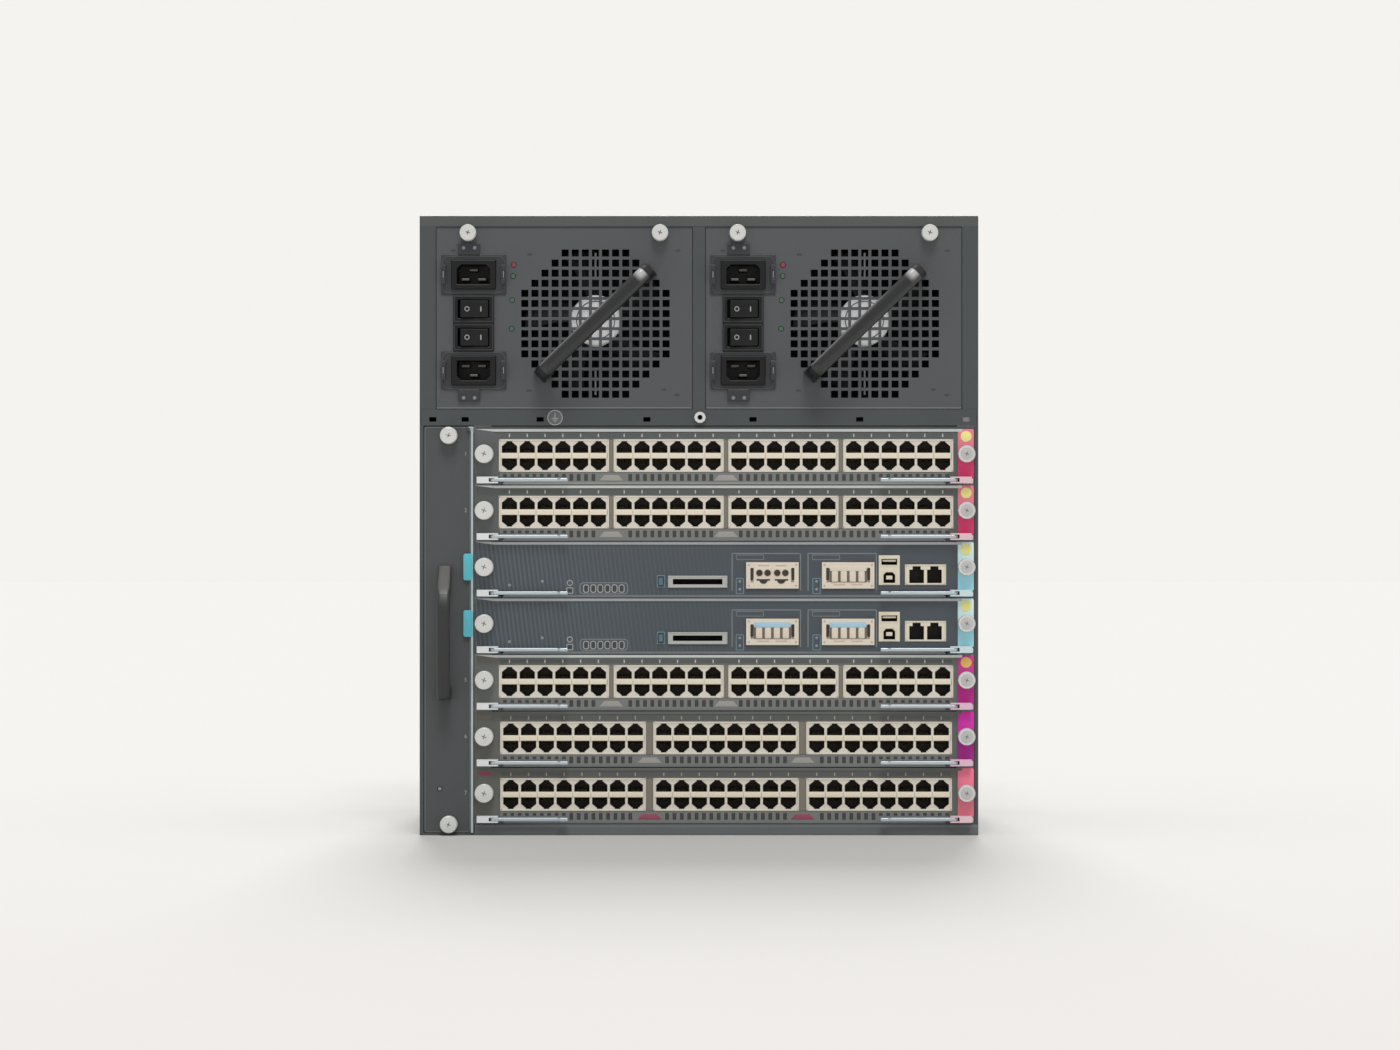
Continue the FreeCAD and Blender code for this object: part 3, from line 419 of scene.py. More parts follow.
# %% Paint, plating, mouldings and prints
finish_table = (
    # name, screen colour, then roughness, metallic, fineness, shift, bump, dust, coat, specular
    ("chassis_paint", 77, 81, 82, 0.5, 0, 1400, 0.06, 0.25, 0.2, 0, 0.35),
    ("supply_paint", 86, 89, 91, 0.48, 0, 1400, 0.06, 0.25, 0.2, 0, 0.35),
    ("tray_paint", 80, 83, 84, 0.48, 0, 1400, 0.06, 0.25, 0.2, 0, 0.35),
    ("card_paint", 97, 101, 100, 0.46, 0.1, 1200, 0.06, 0.15, 0.2, 0, 0.4),
    ("warm_card_paint", 110, 113, 109, 0.46, 0.1, 1200, 0.06, 0.15, 0.2, 0, 0.4),
    ("dark_card_paint", 103, 104, 99, 0.46, 0.1, 1200, 0.06, 0.15, 0.2, 0, 0.4),
    ("control_paint", 80, 86, 92, 0.42, 0.15, 1200),
    ("gasket_metal", 176, 181, 182, 0.3, 0.85, 600, 0.1),
    ("screw_metal", 226, 226, 222, 0.36, 0.35, 700, 0.04),
    ("lever_metal", 196, 207, 213, 0.3, 0.55, 700),
    ("guide_metal", 158, 160, 160, 0.38, 0.8, 500, 0.1),
    ("shield_metal", 228, 221, 207, 0.38, 0.25, 900, 0.05),
    ("bar_ivory", 236, 226, 205, 0.45, 0, 700, 0.03),
    ("module_metal", 232, 221, 203, 0.4, 0.2, 800, 0.05),
    ("contact_gold", 196, 158, 84, 0.3, 0.9),
    ("moulded_black", 19, 19, 20, 0.42, 0, 1800, 0.06, 0.3, 0.2, 0, 0.35),
    ("tray_grip_black", 46, 46, 46, 0.42, 0, 1600, 0.06, 0.2),
    ("blade_metal", 98, 96, 91, 0.4, 0.6),
    ("strut_grey", 150, 152, 152, 0.5, 0, 1200),
    ("lamp_dull", 142, 146, 146, 0.3, 0, 1500, 0.06, 0.15, 0.2, 0.3),
    ("grip_slope", 90, 88, 86, 0.42, 0, 1600, 0.06, 0.2),
    ("bright_gasket", 206, 210, 208, 0.35, 0.4, 600, 0.1),
    ("lever_white", 228, 231, 231, 0.4, 0, 900, 0.04),
    ("window_grey", 88, 91, 88, 0.5, 0, 2200, 0.05, 0.05),
    ("slot_shade", 64, 65, 63, 0.6, 0, 2200, 0.05, 0.05),
    ("slot_band", 124, 126, 123, 0.45, 0.1, 1200, 0.05),
    ("fold_light", 146, 148, 145, 0.4, 0.2, 900, 0.08),
    ("fold_grey", 118, 122, 122, 0.42, 0.2, 900, 0.08),
    ("block_gap_paint", 128, 121, 110, 0.5, 0, 1200),
    ("plug_shadow", 118, 102, 90, 0.55, 0, 900, 0.08),
    ("socket_dark", 52, 47, 42, 0.6, 0, 900, 0.06, 0.15, 0.05),
    ("well_dark", 20, 20, 21, 0.7, 0, 900, 0.06, 0.15, 0.02, 0, 0.2),
    ("rotor_black", 38, 39, 40, 0.5, 0, 1500, 0.06, 0.15, 0.03, 0, 0.3),
    ("fan_frame_black", 34, 35, 37, 0.5, 0, 1500),
    ("retainer_grey", 50, 52, 54, 0.38, 0, 900, 0.06, 0.15, 0.2, 0.1),
    ("print_grey", 166, 169, 167, 0.55, 0, 2200, 0.05, 0.05),
    ("label_dark", 62, 64, 63, 0.5, 0, 2200, 0.05, 0.05),
    ("cyan_label", 84, 194, 208, 0.4, 0, 1500, 0.03, 0.15, 0.05),
    ("yellow_mark", 246, 240, 150, 0.5, 0, 1500, 0.04, 0.15, 0.05),
    ("orange_mark", 250, 196, 104, 0.5, 0, 1500, 0.04, 0.15, 0.05),
    ("button_grey", 92, 116, 128, 0.45, 0, 1200),
    ("rim_metal", 184, 198, 199, 0.4, 0.2, 1200, 0.05),
    ("bezel_grey", 190, 190, 184, 0.4, 0.3, 1200, 0.05),
    ("print_line", 126, 132, 136, 0.5, 0, 2200, 0.05, 0.05),
    ("print_blue", 112, 142, 154, 0.5, 0, 2200, 0.05, 0.05),
    ("ivory_body", 228, 219, 196, 0.45, 0, 900, 0.04),
    ("plug_tan", 196, 180, 158, 0.45, 0, 900, 0.08),
    ("plug_blue", 172, 208, 226, 0.4),
    ("mauve_badge", 146, 70, 92, 0.45, 0, 1500, 0.05),
    ("badge_grey", 160, 158, 152, 0.42, 0.1, 1200, 0.05),
    ("label_beige", 112, 106, 94, 0.5, 0, 1500, 0.08),
    ("dimple_grey", 160, 160, 157, 0.5, 0.3),
    ("recess_grey", 128, 128, 126, 0.5, 0.3),
    ("screw_shade", 200, 199, 199, 0.45, 0.35, 400, 0.1),
    ("tray_edge", 100, 105, 106, 0.42, 0, 1400),
    ("top_paint", 87, 90, 90, 0.5, 0, 1400, 0.06, 0.25, 0.2, 0, 0.35),
)
for name, red, green, blue, *values in finish_table:
    finish(name, tone(red, green, blue), *values)
print("plain finishes:", len(finishes))

# %% [markdown]
# ## Finishes with a pattern of their own
# Zinc-coated sheet shows spangles, so its colour comes from a cell pattern.  A circuit board shows
# copper tracks under green resist, so it gets a brick-like pattern of thin lines.  The control cards
# carry fine printed stripes, made from a turned wave that fades to the right.

# %% Zinc spangle, circuit board and printed stripes
tree, shader, coordinates, grain = finish("galvanised", tone(172, 175, 176), 0.42, 0.8, 500, 0.05)
cells = node(tree, "TexVoronoi", {"Vector": coordinates["Object"], "Scale": 190.0})
flake = node(tree, "SeparateColor", {0: cells.outputs["Color"]}).outputs[0]
feed(tree, grain.inputs["Colour"], blend(tree, flake, tone(164, 167, 168), tone(182, 185, 185)))

tree, shader, coordinates, grain = finish("board_green", tone(28, 84, 52), 0.4, coat=0.2)
tracks = node(tree, "TexBrick", {
    "Vector": coordinates["Object"],
    "Scale": 160.0,
    "Mortar Size": 0.05,
    "Color1": tone(26, 84, 52),
    "Color2": tone(22, 74, 46),
    "Mortar": tone(52, 116, 74),
})
feed(tree, grain.inputs["Colour"], tracks.outputs["Color"])

tree, shader, coordinates, grain = finish("striped_print", tone(80, 86, 92), 0.42, 0.15, 1200)
place = coordinates["Object"]
slant = node(tree, "Mapping", {"Vector": place, "Rotation": (0, math.radians(7), 0)})
bands = node(tree, "TexWave", {"Vector": slant.outputs[0], "Scale": 92.0, "Distortion": 0.0})
fade_feeds = {"Value": axes(tree, place)["X"], "From Min": 0.05, "From Max": -0.14, "To Max": 0.26}
fade = node(tree, "MapRange", fade_feeds).outputs[0]
line = product(tree, calculate(tree, "POWER", bands.outputs["Fac"], 3.0), fade)
feed(tree, grain.inputs["Colour"], blend(tree, line, tone(77, 84, 90), tone(132, 142, 148)))

# %% Handles, with a painted highlight near one end and along the edge
handle_tone = tone(34, 35, 36)
tree, shader, coordinates, grain = finish(
    "handle_black", handle_tone, 0.26, 0, 1600, bump=0.08, coat=0.25
)
# The pale patch near the upper end and the pale line along one edge are painted highlights.
along, over = axes(tree, coordinates["UV"])[:2]
near_end = product(tree, ramp(tree, along, 0.74, 0.84), ramp(tree, along, 0.93, 0.88))
end_highlight = product(tree, near_end, ramp(tree, over, -0.7, 0.2))
edge_highlight = product(tree, ramp(tree, over, 0.7, 0.95), ramp(tree, along, 0.6, 0.2), 0.45)
painted_highlights = calculate(tree, "MAXIMUM", end_highlight, edge_highlight)
feed(tree, grain.inputs["Colour"], blend(tree, painted_highlights, handle_tone, tone(186, 186, 185)))

# %% Lamps: a little light of their own, brighter in the middle of their grain; the fan hub is no lamp, and its glow is painted light
for name, colour, glow in (
    ("lamp_red", tone(150, 46, 60), 0.06),
    ("lamp_green", tone(62, 104, 76), 0.04),
    ("hub_grey", tone(250, 250, 250), 0.2),
    ("lamp_clear", tone(186, 188, 182), 0.04),
):
    tree, shader, coordinates, grain = finish(name, colour, 0.25, fineness=1500, dust=0.05, coat=0.4)
    feed(tree, shader.inputs["Emission Color"], grain.outputs["Colour"])
    shader.inputs["Emission Strength"].default_value = glow

# %% Printed end tabs, whose colour changes softly at mid-height, and the plastic at the lever's pivot
for cards, upper, lower, pivot in (
    ((1, 2), (238, 132, 152), (224, 66, 116), (232, 196, 204)),
    ((3, 4), (214, 242, 242), (166, 226, 240), (208, 228, 230)),
    ((5,), (204, 68, 150), (196, 46, 150), (232, 190, 212)),
    ((6,), (218, 54, 178), (176, 44, 150), (232, 190, 212)),
    ((7,), (250, 130, 156), (238, 130, 150), (236, 204, 212)),
):
    for number in cards:
        finish("pivot_%d" % number, tone(*pivot), 0.4, shift=0.04)
        tree, shader, coordinates, grain = finish(
            "tab_print_%d" % number, tone(*upper), 0.5, 0, 1300, 0.03, 0.05, 0.03, 0, 0.3
        )
        split = level[number] * mm
        above = ramp(tree, axes(tree, coordinates["Object"])["Z"], split - 0.003, split + 0.003)
        feed(tree, grain.inputs["Colour"], blend(tree, above, tone(*lower), tone(*upper)))
print("finishes done:", len(finishes))

# %% [markdown]
# ## Giving the solids their finishes
# Some solids hold more than one part: a card's solid is its painted face, its board, its rear plug and
# its screws.  A face of the mesh can point to any of its object's finishes, so each solid gets a short
# list, and a rule on the middle of each face picks one.  The mesh itself is never changed.

# %% Dressing and softening a solid
def soften_solid(solid, width, steps):
    """Rounds a solid's edges by live modifiers: weld, join the flat faces, then bevel."""
    weld = solid.modifiers.new("weld", "WELD")
    weld.merge_threshold = 0.00001
    flat = solid.modifiers.new("flat", "DECIMATE")
    flat.decimate_type = "DISSOLVE"
    flat.angle_limit = math.radians(2)
    flat.delimit = {"MATERIAL"}
    bevel = solid.modifiers.new("edges", "BEVEL")
    bevel.width = width * mm
    bevel.segments = steps
    bevel.limit_method = "ANGLE"
    bevel.angle_limit = math.radians(40)
    bevel.harden_normals = False


def dress(name, listed, rule=None, rounding=0.0, steps=2):
    solid = nodes[name]
    solid.data.materials.clear()
    for finish_name in listed.split():
        solid.data.materials.append(finishes[finish_name])
    picks = [0] * len(solid.data.polygons)
    if rule:
        picks = [int(rule(face.center / mm, face.normal)) for face in solid.data.polygons]
    solid.data.polygons.foreach_set("material_index", picks)
    if rounding:
        soften_solid(solid, rounding, steps)


# %% Rules that pick a finish for each face
def inner_rule(c, n):
    """The inside of the cage is bare zinc."""
    inside = abs(c.x) < shell_high.x - 2 and 2 < c.z < shell_high.z - 2
    return inside and abs(n.y) < 0.5 and c.y > front + 8


jack_low, jack_high = reach("esd_jack")
jack_middle = (jack_low + jack_high) / 2


def jack_rule(c, n):
    return math.hypot(c.x - jack_middle.x, c.z - jack_middle.z) < 2.6


def tray_rule(c, n):
    """Screws stand proud; the thin rolled rim at the right edge takes a painted highlight; the frame behind
    is bare zinc.
    """
    if c.y < front - 3:
        return 2
    if c.x > tray_high.x - 2.6 and c.y < front + 6:
        return 3
    return c.y > front + 12


def well_rule(number):
    """The fan well behind the grille is black; the rest of the case is bare zinc."""
    x, y, z = on_supply[number](fan_along, fan_up, -60.0)
    return lambda c, n: c.y < y and math.hypot(c.x - x, c.z - z) < 68


def blade_rule(number):
    """Picks the metal blades inside the two power inlets."""
    middles = [on_supply[number](inlet_along, up) for up in inlet_ups]

    def rule(c, n):
        inside = any(abs(c.x - x) < 11.5 and abs(c.z - z) < 6.6 for x, _, z in middles)
        return inside and front + 1.5 < c.y < front + 16.8
    return rule


def depth_rule(c, n):
    return c.y > front + 0.2


def connector_rule(c, n):
    """Dark inside; in front, a grey bezel on the memory slot and ivory on the other connectors."""
    return 1 if depth_rule(c, n) else 2 * (c.x < card_left + 210)


def card_rule(number):
    """Face, board, plug, screw, right pivot, top gasket and left pivot of a card, in that order."""
    z = level[number]

    def rule(c, n):
        if c.y < front - 0.9 and abs(c.z - z) < 8:
            return 3
        if c.y < front - 0.9 and c.z < z - 16:
            return 6 if c.x < card_middle else 4
        if c.z > z + 17 and c.y < front + 1 and number < 6:
            return 5
        if c.y > front + 11 and abs(c.z - (z - 15.1)) < 0.9:
            return 1
        return 2 * (c.y > front + 200)
    return rule


# %% Dress the solids
for name in ("chassis_shell", "bay_shelf", "bay_divider", "rear_panel"):
    dress(name, "chassis_paint galvanised", inner_rule, 0.4)
dress("backplane", "board_green")
dress("card_guides", "guide_metal")
dress("esd_jack", "screw_metal well_dark", jack_rule)
dress("fan_tray_frame", "tray_paint galvanised screw_metal rim_metal", tray_rule, 0.4)
dress("fan_tray_handle", "handle_black")
dress("fan_tray_fan_frames", "fan_frame_black")
for number in supplies:
    supply = "psu_%d_" % number
    dress("fan_tray_rotor_%d" % number, "rotor_black")
    dress(supply + "panel", "supply_paint screw_metal", lambda c, n: c.y < front - 0.1)
    dress(supply + "case", "galvanised well_dark", well_rule(number), 0.4)
    dress(supply + "handle", "handle_black")
    dress(supply + "power_entry", "moulded_black blade_metal", blade_rule(number), 0.5)
    dress(supply + "retainers", "retainer_grey", None, 0.3)
    dress(supply + "rotor", "rotor_black")
    for rocker in (1, 2):
        dress(supply + "rocker_%d" % rocker, "moulded_black", None, 0.6, 3)

# Cards 5, 6 and 7 take lighter paints than cards 1 and 2: partly their own tone, partly painted light
# making up for the lower cards getting less light here.
face_paints = {n: "striped_print" for n in control_slots}
face_paints.update({5: "warm_card_paint", 6: "dark_card_paint", 7: "dark_card_paint"})
for number in slots:
    name = card_name(number)
    # Line cards take a paler gasket: the gasket's metal with a painted highlight.
    gasket = "bright_gasket"
    if number in control_slots:
        gasket = "gasket_metal"
        dress(name + "_connectors", "ivory_body socket_dark bezel_grey", connector_rule)
        dress(name + "_transceivers", "module_metal socket_dark", depth_rule)
        dress(name + "_eject_button", "button_grey")
    else:
        dress(name + "_jacks", "shield_metal")
    face_paint = face_paints.get(number, "card_paint")
    listed = "%s board_green moulded_black screw_metal pivot_%d %s lever_white"
    dress(name + "_carrier", listed % (face_paint, number, gasket), card_rule(number))
    for side in ("_lever_left", "_lever_right"):
        dress(name + side, "lever_metal", None, 0.4)
print("dressed", len(nodes), "solids")

# %% [markdown]
# ## The sockets of a line card
# Each line card holds forty-eight network sockets in shielded blocks.  A socket is a square mouth with
# a stepped notch for the plug's clip, upward in the top row and downward in the bottom row.  One cell
# is enough: draw its square and its mouth, fill between the two, and draw the mouth's rim back into a
# pocket.  Stamped side by side the cells make a block, and the block replaces the plain solid.

# %% One socket cell
cell_w, cell_h, pocket_depth = 14.0, 12.9, 12
mouth_right = [
    (6.0, 2.2), (6.0, 7.7), (4.8, 8.3), (4.8, 8.7), (3.5, 9.3), (3.5, 9.8), (2.2, 10.4), (2.2, 11.4)
]
mouth = mouth_right + [(-x, z) for x, z in reversed(mouth_right)]
cell_square = [(-cell_w / 2, 0), (cell_w / 2, 0), (cell_w / 2, cell_h), (-cell_w / 2, cell_h)]


def socket_cell(up):
    """A socket mouth in its cell, with eight contacts; the cell's foot is on the block's middle line."""
    shape = bmesh.new()
    loops = []
    for points in (mouth, cell_square):
        corners = [shape.verts.new((x, 0, z)) for x, z in points]
        loops.append([shape.edges.new(pair) for pair in zip(corners, corners[1:] + corners[:1])])
    bmesh.ops.triangle_fill(shape, use_beauty=True, edges=loops[0] + loops[1], normal=(0, -1, 0))
    drawn = bmesh.ops.extrude_edge_only(shape, edges=loops[0])
    back = made_verts(drawn)
    walls = [f for f in drawn["geom"] if isinstance(f, bmesh.types.BMFace)]
    move(shape, (0, pocket_depth, 0), back)
    edges = [e for e in drawn["geom"] if isinstance(e, bmesh.types.BMEdge)]
    rim = [e for e in edges if all(v in back for v in e.verts)]
    pocket = walls + bmesh.ops.contextual_create(shape, geom=rim)["faces"]
    for face in pocket:
        face.material_index = 1
    for face in shape.faces:
        inward = Vector((0, 6, 6)) - face.calc_center_median()
        if face.normal.dot(inward) < 0 if face.material_index else face.normal.y > 0:
            face.normal_flip()
    for contact in range(8):
        strip = bmesh.ops.create_grid(shape, x_segments=1, y_segments=1, size=0.5)["verts"]
        stretch(shape, (0.45, 6.5, 1), strip)
        turn(shape, 24, "X", strip)
        move(shape, (contact - 3.5, 6.0, mouth_right[0][1] + 2.0), strip)
        for face in {f for v in strip for f in v.link_faces}:
            face.material_index = 2
    if not up:
        stretch(shape, (1, 1, -1))
        bmesh.ops.reverse_faces(shape, faces=shape.faces)
    return cast(shape)


upper_cell = socket_cell(True)
lower_cell = socket_cell(False)
print("faces in one socket:", len(upper_cell.polygons))

# %% Blocks of sockets on the five line cards
block_rim = 1.4
block_h = 25.8
block_drop = 1.3
field_shift = 1.35
block_gap = {6: 3.5, 8: 5.6}
sleeve_depth = 15.0
seam_line = plate(0.2, 4.3, 0.72)


def spread_out(middle, count, step):
    """The places of a row of equal things, about its middle."""
    return [middle + (k - (count - 1) / 2) * step for k in range(count)]


def block_places(number):
    """The middle of each socket block along its card, and the block's width."""
    wide = columns[number] * cell_w + 2 * block_rim
    step = wide + block_gap[columns[number]]
    return spread_out(card_width / 2 + field_shift, 24 // columns[number], step), wide


for number in line_slots:
    work = bmesh.new()
    at = on_card[number]
    places, wide = block_places(number)
    sleeve = window_frame(wide, block_h, sleeve_depth, 0.5)
    lip = window_frame(wide, block_h, 0.6, block_rim, 0.6, 0.2)
    bar = plate(wide - 2 * block_rim, 4.4, 0.7, 0.0, 0.3)
    for middle in places:
        stamp(work, sleeve, at(middle, -block_drop, -sleeve_depth), 0)
        stamp(work, lip, at(middle, -block_drop), 0)
        stamp(work, bar, at(middle, -block_drop), 3)
        for along in spread_out(middle, columns[number], cell_w):
            stamp(work, upper_cell, at(along, -block_drop))
            stamp(work, lower_cell, at(along, -block_drop))
            stamp(work, seam_line, at(along + cell_w / 2 - 0.1, -block_drop), 1)
    name = card_name(number)
    listed = "shield_metal socket_dark contact_gold bar_ivory"
    finish_piece(work, name + "_sockets", name, listed, "jack_shield", name + "_jacks")
print("socket blocks on", len(line_slots), "cards")

# %% [markdown]
# ## Strips above and below the sockets
# Above the sockets runs a strip of dark windows with a light pipe at the middle of each socket.  Below
# them a row of upright slots lets air in.  Each is a very thin plate with rounded corners, laid on the
# painted face: at this size a dark plate reads as an opening, and forty of them stay cheap.

# %% Lamp row, air slots, badges and lever openings
slot_step, slot_total = 5.8, 61
lever_reach = 74.0
# The strip along each card's bottom fold is lighter than the face: a painted highlight on the bend.
fold_plate = plate(card_width - 44.0, 1.9, 0.3, 0.2, 0.1)
# A small dark wedge marks where each lever's cam passes through the face: painted shade in the opening.
lever_notch = wedge(0.05, 4.6, 2.4, 0.06)


def lamp_row(number):
    middles = []
    for middle in block_places(number)[0]:
        middles += spread_out(middle, columns[number], cell_w)
    pipe = plate(1.0, 2.6, 0.3, 0.3, 0.1)
    end = plate(6.8, 3.0, 0.12, 0.7)
    rows = [(end, middles[0] - 4.2, 14.6, 0, 0), (end, middles[-1] + 4.2, 14.6, 0, 0)]
    rows += [(pipe, x, 14.6, 0, 1) for x in middles]
    for x, beyond in zip(middles, middles[1:]):
        rows.append((plate(beyond - x - 1.5, 3.0, 0.12, 0.7), (x + beyond) / 2, 14.6, 0, 0))
    listed = "window_grey lamp_clear" if number < 6 else "window_grey badge_grey"
    build_on_card(number, "_lamp_row", listed, "card_paint", rows)


def air_slots(number):
    """Full slots between the two levers, short ones above each lever, and a gap at each badge."""
    tall, short = plate(3.0, 5.4, 0.12, 0.5), plate(3.0, 2.3, 0.12, 0.5)
    middle = card_width / 2
    rows = [(plate(card_width - 40.0, 7.6, 0.06), middle, -18.4, 0, 4)]
    rows.append((fold_plate, middle, -23.1, 0, 5))
    places, wide = block_places(number)
    gaps = [(a + b) / 2 for a, b in zip(places, places[1:])]
    gap_plate = plate(block_gap[columns[number]] - 0.5, block_h - 0.8, 0.06)
    rows += [(gap_plate, gap, -block_drop, 0, 6) for gap in gaps]
    gaps = gaps[:2]
    for x in spread_out(middle + field_shift, slot_total, slot_step):
        if any(abs(x - gap) < 11 for gap in gaps):
            continue
        if lever_reach < x < card_width - lever_reach:
            rows.append((tall, x, -18.5, 0, 0))
        else:
            rows.append((short, x, -16.9, 0, 0))
    badge = wedge(19.0, 11.0, 4.4, 0.3, 0.12)
    rows += [(badge, gap, -18.8, 0, 1) for gap in gaps]
    rows += [(lever_notch, x, -22.9, 0.3, 0) for x in (21.6, card_width - 21.6)]
    if number == 1:
        rows.append((plate(card_width - 1.0, 1.9, 0.6, 0.0, 0.15), middle, 20.6, -0.6, 3))
    if number > 4:
        rows.append((plate(10.5, 3.0, 0.1, 0.4), 8.0, 15.2, 0, 2))
    marks = "mauve_badge mauve_badge" if number == 7 else "badge_grey label_beige"
    fold = "fold_light" if number == 1 else "fold_grey"
    listed = "slot_shade %s chassis_paint slot_band %s block_gap_paint" % (marks, fold)
    build_on_card(number, "_air_slots", listed, "card_paint", rows)


for number in line_slots:
    lamp_row(number)
    air_slots(number)
print("strips on", len(line_slots), "cards")

# %% [markdown]
# ## Knurled captive screws
# Every module is held by thumb screws.  A thumb screw is a turned part, so its outline is spun round
# its axis, and then every second face of its rim is pushed in to make the knurl.  A shallow cross is
# cut in its face.

# %% Thumb screws
screw_length = 9.0
ridges = 30


def thumb_screw(radius, length):
    shape = bmesh.new()
    outline = (
        (0, -length), (radius * 0.72, -length), (radius * 0.9, -length + 0.35), (radius, -length + 1.1),
        (radius, -1.6), (radius * 0.86, -1.1), (radius * 0.86, 0),
    )
    corners = [shape.verts.new((x, y, 0)) for x, y in outline]
    edges = [shape.edges.new(pair) for pair in zip(corners, corners[1:])]
    spun = {"cent": (0, 0, 0), "axis": (0, 1, 0), "angle": math.tau, "steps": ridges * 2, "use_merge": True}
    bmesh.ops.spin(shape, geom=corners + edges, **spun)
    bmesh.ops.remove_doubles(shape, verts=shape.verts, dist=0.001)
    bmesh.ops.recalc_face_normals(shape, faces=shape.faces)
    middles = {f: f.calc_center_median() for f in shape.faces if abs(f.normal.y) < 0.2}
    rim = [f for f, middle in middles.items() if middle.xz.length > radius * 0.95]
    rim.sort(key=lambda f: math.atan2(middles[f].z, middles[f].x))
    bmesh.ops.inset_individual(shape, faces=rim[::2], thickness=0.08, depth=-0.28)
    return cast(shape)


def cross_recess(radius):
    """A shallow dimple with a small cross, laid in the middle of a screw's face; where they take a darker
    grey, it is painted shade in the recess.
    """
    shape = bmesh.new()
    stamp(shape, disc(radius * 0.42, 0.04, 24), (0, -screw_length, 0), 1)
    arm = plate(radius * 0.6, radius * 0.13, 0.06)
    for degrees in (20, 110):
        turned = Matrix.Rotation(math.radians(degrees), 4, "Y")
        stamp(shape, arm, (0, -screw_length, 0), 2, turned)
    return cast(shape)


def screws(name, body, diameter, at, places, listed="screw_metal screw_metal dimple_grey"):
    knob, cross = thumb_screw(diameter / 2 + 0.25, screw_length + 0.05), cross_recess(diameter / 2)
    rows = []
    for along, up in places:
        rows += [(knob, along, up, 0, 0), (cross, along, up, 0, None)]
    build(name, body, listed, "module_shell", at, rows)


for number in slots:
    name, at = card_name(number), on_card[number]
    screws(name + "_left_screw", name, 14.0, at, [(7.8, 0)])
    listed = "screw_shade screw_metal dimple_grey"
    screws(name + "_right_screw", name, 13.0, at, [(card_width - 6.2, 0)], listed)
for number in supplies:
    name, at = "psu_%d" % number, on_supply[number]
    listed = "screw_metal dimple_grey recess_grey"
    screws(name + "_thumb_screws", name, 12.4, at, [(25.1, 138.2), (176.0, 138.2)], listed)
tray_width, tray_height = tray_high.x - tray_low.x, tray_high.z - tray_low.z
screws("fan_tray_thumb_screws", "fan_tray", 13.0, on_tray, [(19.6, 7), (19.6, tray_height - 7)])
print("screws on", len(slots), "cards,", len(supplies), "supplies and the tray")

# %% [markdown]
# ## Handles
# A handle is drawn once from the side, its corners are rounded as points, it is thickened, and its long
# edges are rolled over.  The solids hold the same handle with flat facets; these pieces replace them.

# %% The supply handles and the tray handle
def profile_handle(points, rounds, width, roll):
    """A handle from its side outline (along, out), each point with its own corner radius."""
    shape = bmesh.new()
    corners = [shape.verts.new((along, -out, 0)) for along, out in points]
    shape.faces.new(corners)
    for corner, radius in zip(corners, rounds):
        if radius:
            soften(shape, [corner], radius, 6, "VERTICES")
    move(shape, (0, 0, -width / 2))
    thicken(shape, (0, 0, width))
    level_edges = [e for e in shape.edges if abs(e.verts[0].co.z - e.verts[1].co.z) < 1e-6]
    soften(shape, [e for e in level_edges if max(v.co.y for v in e.verts) < -0.01], roll, 5)
    return shape


def ink_where(shape, rule):
    for face in shape.faces:
        if rule(face):
            face.material_index = 1


def set_handle(shape, name, body, degrees, place, listed, replaced):
    turn(shape, degrees, "Y")
    move(shape, place)
    finish_piece(shape, name, body, listed, "handle_black", replaced)


half, out, post, bar, handle_width = 61.5, 32.0, 11.0, 9.0, 12.0
supply_outline = (
    (-half, 0), (-half, out), (half, out), (half, 0),
    (half - post, 0), (half - post, out - bar), (post - half, out - bar), (post - half, 0),
)
for number in supplies:
    shape = profile_handle(supply_outline, (0, 12, 12, 0, 0, 4, 4, 0), handle_width, 3.8)
    ink_where(shape, lambda face: abs(face.calc_center_median().x) > half - 6.5)
    unrolled = shape.loops.layers.uv.new("along_and_across")
    for corner in [corner for face in shape.faces for corner in face.loops]:
        corner[unrolled].uv = (corner.vert.co.x / half, corner.vert.co.z / (handle_width / 2))
    name, place = "psu_%d" % number, on_supply[number](fan_along, fan_up)
    set_handle(shape, name + "_grip", name, -44, place, "handle_black moulded_black", name + "_handle")

tray_outline = (
    (0, 0), (0, 26), (81, 26), (105, 2), (105, 0), (95, 0), (77, 18), (12, 18), (10, 16), (10, 0)
)
shape = profile_handle(tray_outline, (0, 4, 10, 0, 0, 0, 8, 2, 2, 0), 10.0, 2.4)
# The upward slope of the grip takes a lighter finish: painted light from above.
ink_where(shape, lambda face: face.normal.x > 0.5 and face.normal.y < -0.3)
place, listed = on_tray(16.4, 105.2), "tray_grip_black grip_slope"
set_handle(shape, "fan_tray_grip", "fan_tray", -90, place, listed, "fan_tray_handle")
print("handles rounded: 3")

# %% [markdown]
# ## Fan rotors behind the grilles
# A supply's fan has a broad pale hub and five curved blades.  A blade starts as a flat grid: it is
# cambered by moving its middle rows, twisted more at the root than at the tip, swept back, and given a
# thickness.  Turned copies round the hub make the rotor, which rides on the fan's own body and spins.

# %% One blade, five times
def fan_blade(root, tip, chord, thick):
    shape = bmesh.new()
    bmesh.ops.create_grid(shape, x_segments=6, y_segments=6, size=0.5)
    stretch(shape, (chord, tip - root, 1))
    move(shape, (0, (root + tip) / 2, 0))
    rows = {}
    for v in shape.verts:
        v.co.z += 3.0 * (1 - (2 * v.co.x / chord) ** 2)
        rows.setdefault(round(v.co.y, 3), []).append(v)
    for radius, row in rows.items():
        out = (radius - root) / (tip - root)
        stretch(shape, (0.75 + 0.35 * out, 1, 1), row)
        turn(shape, 44 - 18 * out, "Y", row)
        turn(shape, 14 * out, "Z", row)
    bmesh.ops.solidify(shape, geom=list(shape.faces), thickness=thick)
    bmesh.ops.recalc_face_normals(shape, faces=shape.faces)
    turn(shape, 90, "X")
    return cast(shape)


